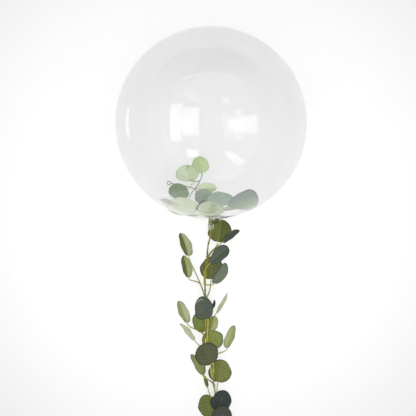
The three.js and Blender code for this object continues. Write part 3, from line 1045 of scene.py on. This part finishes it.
@dataclass
class Garland:
    """The tail: a main stem with sprays clipped on along it."""

    envelope: Envelope
    stem_radius: float = 1.8
    stem_length: float = 780
    stem_lift: float = 21
    stem_drop: float = 252
    overhang: float = 8
    cut: float = 10
    tie_width: float = 7
    tie_place: float = 0.45
    gap: float = 0.3
    end_inset: float = 0.1
    knob_height: float = 0.7
    knob_reach: float = 3.2
    runner_radius: float = 1.2
    collar_half: float = 4.6
    twig_radius: float = 1.1
    askew_fold: float = 0.35
    waves: tuple[tuple[float, float], ...] = (
        (0.0513, -1), (0.0833, -7), (0.1218, -10), (0.1667, -13), (0.2179, -16),
        (0.2756, -15), (0.359, -12), (0.391, -13), (0.4359, -12), (0.5128, 2),
        (0.5705, 6), (0.6218, 12), (0.7051, 15), (0.7949, 10), (0.8846, 4),
    )
    runners: tuple[tuple[float, float, float, float], ...] = (
        (0.33, 0.44, 4.6, 2.2),
        (0.42, 0.57, -4.4, 2.2),
        (0.44, 0.56, 4.2, 2.6),
        (0.63, 0.7, 3.8, 2.2),
    )
    joints: tuple[float, ...] = (
        *(32, 62, 88, 112, 136, 172, 196, 236, 268, 301, 333, 360),
        *(395, 431, 468, 506, 544, 581, 617, 652, 686, 719, 748),
    )

    def __post_init__(self) -> None:
        """Works out the stem's line and the finishes."""
        e = self.envelope
        self.under_neck = e.cad_neck + self.gap + self.stem_radius
        self.tie_at = e.neck_start + e.neck_length * self.tie_place
        self.top = e.placed(np.array([0, -self.tie_at, -self.under_neck]))
        self.line = self.route()
        self.leaf_finishes = [side.material() for side in (LEAF_TOP, LEAF_UNDERSIDE)]
        self.twig_finish = BarkFinish("green_twig", streak=0.5).material()

    def height(self, past: float) -> float:
        """The stem's height past the tie: with t = past / drop, lift + fall (2 t^3 - 3 t^2 + 1) plus
        slope (t^3 - 2 t^2 + t), the slope being the neck's."""
        t = min(past / self.stem_drop, 1)
        fall = self.top[2] - self.stem_lift
        slope = -math.tan(math.radians(self.envelope.tilt)) * self.stem_drop
        return self.stem_lift + fall * (2 * t**3 - 3 * t**2 + 1) + slope * (t**3 - 2 * t**2 + t)

    def route(self) -> np.ndarray:
        """The stem's middle line, through the tie and the waves to its cut end."""
        steps = (self.overhang, 0, -self.tie_width)
        starts = [[0, -self.tie_at + step, -self.under_neck] for step in steps]
        points = list(self.envelope.placed(np.array(starts)))
        waves = [(self.stem_length * a, side) for a, side in self.waves]
        waves += [(self.stem_length - self.cut, 0), (self.stem_length, 0)]
        points += [np.array([side, self.top[1] - past, self.height(past)]) for past, side in waves]
        points[-1][1] += self.end_inset
        return smooth_line(np.array(points), 60)

    def at(self, past: float) -> tuple[np.ndarray, np.ndarray]:
        """The point of the stem a distance past the tie, and the stem's direction there."""
        runs = self.top[1] - self.line[:, 1]
        along = unit(np.gradient(self.line, axis=0))
        point = np.array([np.interp(past, runs, self.line[:, k]) for k in range(3)])
        return point, unit(np.array([np.interp(past, runs, along[:, k]) for k in range(3)]))

    def stem(self) -> bpy.types.Object:
        """The main stem, swollen and browner at its joints, with its buds and runners."""
        line = even_steps(self.line, 420)
        past = self.top[1] - line[:, 1]
        every = np.array(self.joints)
        knob = bump(past[:, None], every[None, :], self.knob_reach).max(1)
        wobble = 0.08 * np.sin(past / 7) + 0.05 * np.sin(past / 3.1 + 1)
        radius = self.stem_radius + 0.2 + self.knob_height * knob + wobble
        patch = (0.5 + 0.5 * np.sin(past / 23 + 0.6))[:, None]
        olive, brown = pigment((140, 140, 30)), pigment((84, 70, 30))
        tone = (olive * patch + pigment((100, 90, 32)) * (1 - patch)) * (1 - 0.6 * knob[:, None])
        tone = tone + brown * 0.5 * knob[:, None]
        skin = Skin()
        skin.add_rod(line, radius, 14, tone, np.array([1.0, 0, 0]), cap=0)
        self.add_buds(skin, olive * 0.8)
        self.add_runners(skin)
        return skin.build("stem", [BarkFinish("stem_bark").material()], "bark", ("main_stem",))

    def add_buds(self, skin: Skin, tone: np.ndarray) -> None:
        """Two small buds at each joint, which lean up and along the stem."""
        rng = np.random.default_rng(5)
        for place in self.joints:
            point, along = self.at(float(place))
            side = unit(np.cross(along, [0, 0, 1]))
            for sign in (-1, 1):
                lean = unit(side * sign * 0.7 + np.array([0, 0, rng.uniform(0.1, 0.7)]) + along * 0.5)
                bud = point + np.outer(np.linspace(1.2, rng.uniform(3, 4.6), 7), lean)
                skin.add_rod(bud, 0.75 * np.sin(np.linspace(0.7, 3.0, 7)), 7, tone)

    def add_runners(self, skin: Skin) -> None:
        """Thin pale stems that run beside the main one: each from one share of its length to another,
        set off sideways and up by millimetres."""
        for start, end, aside, rise in self.runners:
            past = np.linspace(start, end, 40) * self.stem_length
            share = np.sin(np.linspace(0, np.pi, 40)) ** 0.5
            beside = np.array([self.at(float(p))[0] for p in past])
            beside += np.outer(share, [aside, 0, rise]) + np.outer(np.sin(past / 19), [0.4, 0, 0.2])
            skin.add_rod(beside, self.runner_radius, 9, pigment((208, 208, 132)))

    def twig(self, leaf: Leaf, start: np.ndarray, heading: np.ndarray, spread: float) -> np.ndarray:
        """A twig's middle line: the cubic from start to the leaf's foot, b0 (1 - t)^3 + 3 b1 t (1 - t)^2
        + 3 b2 t^2 (1 - t) + b3 t^3, and on into the leaf's notch.

        Args:
            leaf: the leaf that it carries.
            start: where it springs from.
            heading: the direction that it leaves in.
            spread: how far it swings out.

        Returns:
            The line's points, from the collar's own middle.
        """
        foot = np.array(leaf.foot, float)
        grows = self.turned(leaf)[:, 1]
        reach = float(np.linalg.norm(foot - start))
        outward = unit((foot - start) * np.array([1, 0, 1]))
        leaving = start + heading * reach * 0.4 + outward * spread
        b = [start, leaving, foot - grows * reach * 0.3, foot]
        t = np.linspace(0, 1, 22)[:, None]
        line = b[0] * (1 - t) ** 3 + 3 * b[1] * t * (1 - t) ** 2
        line = line + 3 * b[2] * t**2 * (1 - t) + b[3] * t**3
        return np.vstack([line, foot + grows * 1.6, foot + grows * 3.2])

    @staticmethod
    def turned(leaf: Leaf) -> np.ndarray:
        """The turn that lays a leaf the way that it grows: about Z by -turn, X by rise, Y by roll."""
        return turn_about(2, -leaf.turn) @ turn_about(0, leaf.rise) @ turn_about(1, leaf.roll)

    def end_sprays(self) -> tuple[Spray, ...]:
        """The last sprays: copies of one, each the other way round, turned on and a little smaller."""
        made = []
        for copy in range(3):
            side, size = (-1 if copy % 2 else 1), 0.93**copy
            leaves = tuple(
                replace(
                    leaf,
                    foot=(leaf.foot[0] * side, *leaf.foot[1:]),
                    turn=(leaf.turn + 9 * copy) * side,
                    roll=leaf.roll * side,
                    long=leaf.long * size,
                    wide=leaf.wide * size,
                )
                for leaf in END_LEAVES
            )
            made.append(Spray(0.8487 + 0.0538 * copy, 4, leaves))
        return tuple(made)

    def spray(self, number: int, spray: Spray, first_leaf: int) -> None:
        """One spray: its swollen collar, its twigs, and a piece for each leaf.

        Args:
            number: its number along the stem, from 1.
            spray: what it is made of.
            first_leaf: the number of its first leaf.
        """
        root, along = self.at(self.stem_length * spray.along)
        green, brown = pigment((156, 160, 40)), pigment((124, 120, 28))
        skin = Skin()
        t = np.linspace(-1, 1, 15)
        collar = root + np.outer(t * self.collar_half, along)
        swell = self.stem_radius + 0.25 + 1.1 * np.cos(t * np.pi / 2) ** 0.7
        skin.add_rod(collar, swell, 14, brown * 0.55 + green * 0.35, np.array([1.0, 0, 0]))
        lines: list[np.ndarray] = []
        for k, leaf in enumerate(spray.leaves):
            parent = lines[leaf.off[0]] if leaf.off else None
            if parent is None:
                start, heading, spread = np.zeros(3), -along, spray.spread
            else:
                i = round(leaf.off[1] * 21)
                start, heading, spread = parent[i], unit(parent[i + 1] - parent[i - 1]), 0
            line = self.twig(leaf, start, heading, spread)
            lines.append(line)
            t = np.linspace(0, 1, len(line))
            radius = self.twig_radius * (1.7 - 0.7 * t) + 0.4 * bump(t, 0.62, 0.03)
            share = ease(0.2, 0.9, t)[:, None]
            skin.add_rod(line + root, radius, 9, brown * (1 - share) + green * share)
            put = Placing(self.turned(leaf), root + np.array(leaf.foot))
            own = Skin()
            size = (Blade.length * leaf.long, Blade.width * leaf.wide)
            notch, wave = min(Blade.notch, size[1] * 0.05), Blade.wave if size[1] > 30 else 0.3
            blade = Blade(fullness=leaf.fullness, notch=notch, wave=wave)
            under = abs(leaf.roll) > 90
            fold = leaf.fold * (self.askew_fold if 90 < abs(leaf.roll) < 150 else 1)
            blade.add(own, size, (fold, leaf.arch), leaf.look, under, put, first_leaf + k)
            node = f"leaf_{first_leaf + k:02d}"
            made = own.build(f"blade_{first_leaf + k:02d}", self.leaf_finishes, "leaf", (node,))
            made.visible_diffuse = False
        skin.build(f"twigs_{number:02d}", [self.twig_finish], "twig", (f"spray_{number}",))

    def build(self) -> None:
        """The stem, then every spray with its leaves."""
        self.stem()
        count = 1
        for number, spray in enumerate((*SPRAYS, *self.end_sprays()), 1):
            self.spray(number, spray, count)
            count += len(spray.leaves)


@dataclass
class Tie:
    """Twine wound round the gathered neck and the stem below it, with a knot."""

    envelope: Envelope
    garland: Garland
    cord: float = 0.7
    knot_lift: float = 0.7
    turns: int = 5

    def winding(self) -> np.ndarray:
        """The cord's middle line: a belt round two circles, stepping on by its own width each turn.

        Returns:
            Points in the balloon's frame.
        """
        gap, apart = self.garland.gap, self.garland.under_neck
        upper = self.envelope.cad_neck + gap + self.cord
        lower = self.garland.stem_radius + gap + self.cord
        lean = math.asin((upper - lower) / apart)
        a = np.linspace(-lean, math.pi + lean, 40)
        b = np.linspace(math.pi + lean, 2 * math.pi - lean, 24)
        first = np.stack([upper * np.cos(a), upper * np.sin(a), 0 * a], axis=1)
        second = np.stack([lower * np.cos(b), lower * np.sin(b) - apart, 0 * b], axis=1)
        once = even_steps(np.vstack([first, second]), 64)
        round_ = np.tile(once, (self.turns, 1))
        shift = np.linspace(-self.turns / 2 + 0.5, self.turns / 2 - 0.5, len(round_)) * self.cord * 2
        return np.stack([round_[:, 0], -self.garland.tie_at + shift, round_[:, 1]], axis=1)

    def build(self) -> bpy.types.Object:
        """The winding, two crossing loops of a knot on top and two short tails."""
        tone = pigment((150, 148, 62))
        place = self.envelope.placed
        skin = Skin()
        skin.add_rod(place(self.winding()), self.cord, 8, tone, self.envelope.axis)
        high = self.envelope.cad_neck + self.garland.gap + self.cord * 2 + self.knot_lift
        for tilt in (35, -35):
            a = np.linspace(0, 2 * np.pi, 28)
            loop = np.stack([1.9 * np.cos(a), 1.2 * np.sin(a), 0.6 * np.cos(2 * a)], axis=1)
            loop = loop @ turn_about(2, tilt).T + np.array([0, -self.garland.tie_at, high])
            skin.add_rod(place(loop), 0.62, 8, tone * 0.95)
        for side in (-1, 1):
            tail = np.array([[0.6, 0, 0.2], [3, -2, 1.0], [6.5, -5, -1.5], [8.5, -9, -5.0]])
            tail = tail * np.array([side, 1, 1]) + np.array([0, -self.garland.tie_at, high])
            skin.add_rod(place(smooth_line(tail, 8)), 0.6, 8, tone)
        return skin.build("twine", [TwineFinish().material()], "tie", ("neck_tie",))


@dataclass(frozen=True)
class InnerLeaf:
    """A leaf sealed in the balloon: where its foot and its tip show in the picture, how many pixels
    wide it shows, its two halves as displayed through the film, how it leans, from along the wall (0)
    to facing up (1), how far it is lifted off what it lies on, and how much broader it is towards its
    foot."""

    foot: tuple[float, float]
    tip: tuple[float, float]
    across: float
    left: Colour
    right: Colour
    lean: float = 0.4
    lift: float = 0
    fullness: float = 0.12
    rim: float = 0.75
    other: Colour = (172, 190, 138)

    @property
    def look(self) -> Look:
        """Its colours as they are without the film."""
        return Look(veiled(self.left), veiled(self.right), self.rim, veiled(self.other))


def veiled(shown: Colour) -> Colour:
    """A colour displayed through the film, as the leaf's own: its light less the film's veil, over the
    film's clarity."""
    light = np.clip((linear(shown) - FILM_VEIL) / FILM_CLARITY, 0.01, 0.95)
    back = np.where(light <= 0.0031308, light * 12.92, 1.055 * light ** (1 / 2.4) - 0.055)
    return tuple(float(c) * LEVELS for c in back)


INNER_LEAVES = (
    InnerLeaf((202.2, 173.2), (198.4, 156.5), 17, (172, 190, 136), (184, 199, 148), 0.3, 6),
    InnerLeaf((188.9, 181.4), (185.4, 165), 23, (196, 208, 176), (180, 196, 154), 0.3),
    InnerLeaf((188.4, 190.4), (168.8, 193.2), 16.6, (140, 156, 130), (124, 144, 114), 0.3),
    InnerLeaf((197.6, 188.8), (216.6, 188.2), 11, (204, 216, 176), (180, 196, 158), 0.55, 12),
    InnerLeaf((194.4, 196.4), (214, 197.6), 14.4, (146, 160, 144), (138, 152, 136), 0.4),
    InnerLeaf((206.2, 201.6), (233.3, 198.2), 15.4, (160, 178, 162), (168, 182, 168), 0.5, 12),
    InnerLeaf((227.4, 205.6), (258.2, 197), 18.8, (148, 158, 152), (146, 164, 140), 0.4, 0, -0.5),
    InnerLeaf((197, 207.2), (166.8, 206.4), 18.4, (216, 224, 198), (214, 222, 196), 0.5, 4),
    InnerLeaf((210.6, 217.2), (210.6, 201), 26, (194, 205, 178), (182, 192, 164), 0.5, 4),
    InnerLeaf((173, 203.4), (160.2, 200.4), 4.4, (194, 200, 184), (184, 190, 174), 0.1),
    InnerLeaf((204.4, 200), (196, 210.4), 4.4, (116, 122, 115), (112, 118, 112), 0.5, 22),
    InnerLeaf((221.6, 209.8), (241.2, 207), 4.4, (196, 206, 180), (166, 178, 154), 0.2, 4),
    InnerLeaf((190.6, 171.4), (184.4, 165.6), 4.6, (112, 146, 92), (126, 160, 104), 0.3, 9),
)

Mark = tuple[float, float, float] | int


class Wood(Enum):
    """The stems inside the balloon, as displayed."""

    DARK = (104, 106, 84)
    GREEN = (160, 166, 84)
    PALE = (176, 182, 140)


@dataclass(frozen=True)
class InnerStem:
    """A stem inside the balloon: its marks, its radius and its wood. A mark is pixels across, pixels
    down and millimetres off the wall, or the number of the leaf whose foot it is, or 0 for the neck."""

    marks: tuple[Mark, ...]
    radius: float
    wood: Wood


NODE, FORK = (195.2, 188.9, 12.0), (199.8, 180.9, 12.0)

INNER_STEMS = (
    InnerStem((0, (207.4, 210.5, 15), (199.8, 197.1, 14), NODE), 1.6, Wood.GREEN),
    InnerStem((NODE, (198.6, 183.4, 13), FORK, (201.6, 176.8, 11), 1), 1.0, Wood.DARK),
    InnerStem((FORK, (194.6, 181.4, 11), 2), 0.8, Wood.DARK),
    InnerStem(((194.6, 181.4, 11), (190.6, 186, 8), 3), 0.8, Wood.GREEN),
    InnerStem((NODE, 4), 0.8, Wood.GREEN),
    InnerStem((NODE, (193.2, 190.8, 12), (190.6, 195, 10), (189.2, 198, 8)), 0.8, Wood.DARK),
    InnerStem(((199.8, 197.1, 14), (197.6, 197.6, 12), 5), 0.8, Wood.GREEN),
    InnerStem((0, (210, 212, 24), (207.6, 205, 22), 6), 0.9, Wood.GREEN),
    InnerStem((0, (213.5, 213, 30), (219, 211.2, 24), (225, 209.4, 16), 7), 0.8, Wood.PALE),
    InnerStem((0, (206, 213, 14), (200.6, 209, 12), 8), 0.9, Wood.PALE),
    InnerStem((0, (210.8, 216.6, 30), 9), 1.3, Wood.GREEN),
    InnerStem(((200.6, 209, 12), (188, 206.4, 6), (179, 205, 6), 10), 0.7, Wood.PALE),
    InnerStem(((207.4, 210.5, 15), (206.6, 204, 20), 11), 0.8, Wood.DARK),
    InnerStem(((219, 211.2, 24), (220.4, 210.4, 20), 12), 0.8, Wood.DARK),
    InnerStem(((194.6, 181.4, 11), (193.4, 176, 12), 13), 0.5, Wood.GREEN),
)


@dataclass
class InnerSprigs:
    """The eucalyptus sealed inside the balloon, lying in its lower half by the neck."""

    envelope: Envelope
    picture: Picture
    ring: Mark = (169, 183, 8)
    ring_radius: float = 4.6
    wire_radius: float = 1.05
    clear: float = 3
    nearest: float = 0.12

    def __post_init__(self) -> None:
        """Finds where every leaf goes."""
        self.placings = [self.laid(leaf) for leaf in INNER_LEAVES]

    def laid(self, leaf: InnerLeaf) -> tuple[Placing, tuple[float, float]]:
        """Lays a leaf in a plane that leans off the wall. Its foot and tip are where the rays of their
        pixels meet the plane. It is then drawn towards the camera, which leaves its outline in the
        picture alone, until its rim is inside the film.

        Args:
            leaf: the leaf.

        Returns:
            Where it goes, and its length and width.
        """
        eye, middle = self.picture.eye, self.envelope.middle
        half_way = ((leaf.foot[0] + leaf.tip[0]) / 2, (leaf.foot[1] + leaf.tip[1]) / 2)
        centre = self.picture.on_wall(*half_way, 0, self.envelope)
        up = unit(self.envelope.inward(centre) * (1 - leaf.lean) + np.array([0, 0, leaf.lean]))
        rays = np.array([self.picture.ray(*leaf.foot), self.picture.ray(*leaf.tip)])
        foot, tip = eye + rays * (((centre - eye) @ up) / (rays @ up))[:, None]
        length = float(np.linalg.norm(tip - foot))
        grows = (tip - foot) / length
        side = np.cross(grows, up)
        seen = unit(grows[:2])
        width = leaf.across * (eye[2] - centre[2]) / self.picture.focal
        width /= abs(seen[0] * side[1] - seen[1] * side[0])
        a = np.linspace(0, 2 * np.pi, 25)[:, None]
        rim = (foot + tip) / 2 + np.cos(a) * grows * length / 2 + np.sin(a) * side * width / 2
        nearer = np.linspace(0, self.nearest, 241)[:, None, None]
        reach = np.linalg.norm(rim - (rim - eye) * nearer - middle, axis=2).max(1)
        share = float(nearer[np.argmax(reach < self.envelope.radius - self.clear), 0, 0])
        share += leaf.lift / eye[2]
        turn = np.stack([side, grows, up], axis=1)
        curl = (1 - leaf.lean) / (2 * self.envelope.radius)
        put = Placing(turn, foot - (foot - eye) * share, length, curl)
        return put, (length * (1 - share), width * (1 - share))

    def where(self, mark: Mark) -> np.ndarray:
        """The place of a stem's mark."""
        if mark == 0:
            return self.envelope.placed(np.array([0, -self.envelope.neck_start - 6, -1.0]))
        if isinstance(mark, int):
            put, size = self.placings[mark - 1]
            return put.placed(np.array([0, min(3.0, size[0] * 0.1), -0.3]))
        return self.picture.on_wall(*mark, self.envelope)

    def leaves(self) -> None:
        """A piece for each leaf."""
        finishes = [side.material() for side in (INNER_TOP, INNER_UNDERSIDE)]
        for number, (leaf, (put, size)) in enumerate(zip(INNER_LEAVES, self.placings), 1):
            skin = Skin()
            notch, wave = (0.6, 0.3) if size[1] < 25 else (2.2, 0.8)
            blade = Blade(fullness=leaf.fullness, notch=notch, wave=wave)
            blade.add(skin, size, (1.5, 1.5), leaf.look, False, put, number + 40)
            skin.build(f"inner_leaf_{number:02d}", finishes, "leaf").visible_shadow = False

    def stems(self) -> None:
        """The stems, and the small ring that one of them ends in, as one piece."""
        skin = Skin()
        for stem in INNER_STEMS:
            line = smooth_line(np.array([self.where(mark) for mark in stem.marks]), 12)
            t = np.linspace(0, 1, len(line))
            knots = 0.25 * bump(t, 0.05, 0.04) + 0.2 * bump(t, 0.96, 0.03)
            radius = stem.radius * (1.25 - 0.2 * t) + knots
            skin.add_rod(line, radius, 9, pigment(veiled(stem.wood.value)))
        marks = ((171.2, 183.2, 8), (176.8, 184.4, 9), (185.1, 185.9, 10), (192.2, 187.9, 12), NODE)
        wire = np.array([self.where(mark) for mark in marks])
        middle = self.where(self.ring)
        up = np.array([0, 0, 1.0])
        to = unit(wire[0] - middle - ((wire[0] - middle) @ up) * up)
        a = np.linspace(0, 2 * np.pi, 40)[:, None]
        loop = middle + self.ring_radius * (np.cos(a) * to + np.sin(a) * np.cross(up, to))
        loop = loop + up * 0.3 * (1 - a / np.pi)
        line = np.vstack([loop, smooth_line(wire, 8)])
        skin.add_rod(line, self.wire_radius, 9, pigment((66, 70, 52)))
        skin.build("inner_stems", [BarkFinish("inner_wood", streak=0.4).material()], "twig")

    def build(self) -> None:
        """The leaves and the stems."""
        self.leaves()
        self.stems()


@dataclass(frozen=True)
class Softbox:
    """A pale panel of the studio, known by its reflection: the corners of the glint that it gives on
    the near side of the balloon, in the picture, how bright it is, how wide its soft edge is, as a
    share of its half, and how far off it stands."""

    name: str
    corners: tuple[tuple[float, float], ...]
    strength: float
    soft: float = 0.12
    distance: float = 1500


SOFTBOXES = (
    Softbox("window_tall", ((171, 104), (182.7, 103), (182.7, 142), (171, 141)), 4.7, 0.06),
    Softbox("window_short", ((182.4, 107), (199.5, 108), (199.5, 136), (182.4, 136)), 4.5, 0.05),
    Softbox("window_low", ((184, 147.5), (201, 148), (201, 158), (186, 159)), 5.4, 0.5),
    Softbox("window_corner", ((216, 148), (232, 149), (252, 163), (238, 169)), 4.6, 0.6),
    Softbox("window_edge", ((127.5, 104), (131.5, 102), (132, 142), (127.5, 140)), 2.2, 0.5, 420),
    Softbox("window_faint", ((149.5, 99), (156, 98), (156, 145), (150, 144)), 1.6, 0.6),
    Softbox("window_right", ((225, 118), (260, 111), (260, 137), (225, 130)), 4.4, 0.4),
)


@dataclass
class Studio:
    """The pale floor, with its painted falloff of light, the soft light and the panels."""

    envelope: Envelope
    picture: Picture
    floor_size: float = 12
    floor_tone: float = 0.99
    sky: float = 0.97
    sky_lean: float = 0.3
    far_sky: float = 0.38
    lamp_height: float = 2.3
    lamp_size: float = 1.0
    lamp_power: float = 9.8
    painted_falloff: tuple[float, float] = (0.36, 1.1)
    painted_falloff_to: float = 0.775
    painted_falloff_shift: float = 50
    ceiling_box: tuple[float, float, float, float] = (7000, -13000, 4300, 3300)
    ceiling_glow: float = 1.0
    ceiling_lean: float = 2.0

    def floor(self) -> None:
        """A wide level floor, faintly mottled, with a painted falloff of light: its colour darkens a
        little away from the middle of the view with the distance sqrt((x - cx)^2 + (y - cy)^2)."""
        mesh = sheet("floor", SQUARE * self.floor_size / 2)
        w = Wiring("pale_floor")
        where = w.node("TexCoord", output="Object")
        x, y, _ = self.picture.place
        centre = (x * MM, (y + self.painted_falloff_shift) * MM, 0)
        away = w.node("VectorMath", {"operation": "DISTANCE"}, {0: where, 1: centre}, "Value")
        # painted falloff of light: the colour runs from the floor's brightest tone near the middle of
        # the view to a darker one further out
        tone = away.eased(*self.painted_falloff, self.floor_tone, self.painted_falloff_to) + w.spot(3, 2) * 0.01
        colour = w.node("CombineColor", None, {0: tone, 1: tone, 2: tone})
        mesh.materials.append(w.finish(Base_Color=colour, Roughness=0.9, Specular_IOR_Level=0.0))
        made = linked("floor", mesh)

    def panel(
        self, name: str, corners: np.ndarray, strength: float, soft: float, lean: float = 0
    ) -> None:
        """A panel with soft edges that adds its light to reflections alone. In light that a matt
        surface has scattered it is as bright as the sky, so that it neither lights the floor nor
        shades it.

        Args:
            name: the panel's name.
            corners: its four corners, in millimetres.
            strength: how bright it is in a reflection.
            soft: how wide its soft edge is, as a share of its half.
            lean: how much brighter it grows from its last side to its first, as a share.
        """
        mesh = sheet(name, corners * MM)
        mesh.uv_layers.new(name="place").data.foreach_set("uv", [0, 0, 1, 0, 1, 1, 0, 1])
        w = Wiring(name)
        u, v = w.place()
        shape = abs(u * 2 - 1).eased(1 - soft, 1, 1, 0) * abs(v * 2 - 1).eased(1 - soft, 1, 1, 0)
        direct = w.node("LightPath", output="Diffuse Depth").maths("LESS_THAN", 0.5)
        extra = (v * -lean + (strength - self.sky + lean)) * shape * direct
        w.node_output(w.node("Emission", None, {"Color": (1, 1, 1, 1), "Strength": extra + self.sky}))
        mesh.materials.append(w.material)
        made = linked(name, mesh)
        made.visible_camera = made.visible_diffuse = made.visible_shadow = False

    def softbox(self, box: Softbox) -> None:
        """A panel whose corners lie on the mirrored rays: r = d - 2 (d . n) n, with n the balloon's
        normal where the ray d of each corner of the glint meets it.

        Args:
            box: the panel.
        """
        eye, middle = self.picture.eye, self.envelope.middle
        d = np.array([self.picture.ray(u, v) for u, v in box.corners])
        b = d @ (eye - middle)
        t = -b - np.sqrt(b * b - (eye - middle) @ (eye - middle) + self.envelope.radius**2)
        hit = eye + d * t[:, None]
        n = unit(hit - middle)
        mirrored = d - 2 * np.sum(d * n, axis=1, keepdims=True) * n
        self.panel(box.name, hit + mirrored * box.distance, box.strength, box.soft)

    def ceiling(self) -> None:
        """A wide glow overhead, brighter on the tail's side and ending on the far side."""
        x, near, far, z = self.ceiling_box
        corners = np.array([(-x, near, z), (x, near, z), (x, far, z), (-x, far, z)])
        self.panel("ceiling", corners, self.ceiling_glow, 0.35, self.ceiling_lean)

    def light(self, unlit: list[bpy.types.Object]) -> None:
        """A dome of light, brighter on the tail's side, and a wide lamp from above.

        Args:
            unlit: the pieces of film, which the lamp leaves out so that it doesn't haze them.
        """
        world = bpy.data.worlds.new("studio")
        bpy.context.scene.world = world
        w = Wiring("studio", world)
        where = w.node("TexCoord", output="Generated")
        y = Value(w, w.node("SeparateXYZ", None, {0: where}).socket.node.outputs[1])
        far = y.eased(0.35, 0.95, self.sky, self.sky * self.far_sky)
        strength = far + y * (-self.sky * self.sky_lean)
        back = w.node("Background", None, {"Color": (1, 1, 1, 1), "Strength": strength})
        out = w.tree.nodes.new("ShaderNodeOutputWorld")
        w.tree.links.new(back.socket, out.inputs["Surface"])
        data = bpy.data.lights.new("lamp", "AREA")
        data.shape, data.size, data.energy = "DISK", self.lamp_size, self.lamp_power
        lamp = linked("lamp", data)
        lamp.location = (self.picture.place[0] * MM, self.picture.place[1] * MM, self.lamp_height)
        lamp.visible_camera = lamp.visible_glossy = lamp.visible_transmission = False
        kept_out = bpy.data.collections.new("film_pieces")
        for piece in unlit:
            kept_out.objects.link(piece)
        lamp.light_linking.receiver_collection = kept_out
        for entry in kept_out.collection_objects:
            entry.light_linking.link_state = "EXCLUDE"

    def build(self, unlit: list[bpy.types.Object]) -> None:
        """Floor, panels and light, with the pieces that the lamp leaves out."""
        self.floor()
        self.ceiling()
        for box in SOFTBOXES:
            self.softbox(box)
        self.light(unlit)
        bpy.context.scene.view_settings.view_transform = "Standard"


def main() -> None:
    """Builds the scene in order."""
    logging.basicConfig(level=logging.INFO, format="%(name)s: %(message)s")
    picture = Picture()
    picture.camera()
    envelope = Envelope()
    film = [envelope.film(), envelope.mouth()]
    garland = Garland(envelope)
    garland.build()
    Tie(envelope, garland).build()
    InnerSprigs(envelope, picture).build()
    Studio(envelope, picture).build(film)


if __name__ == "__main__":
    main()
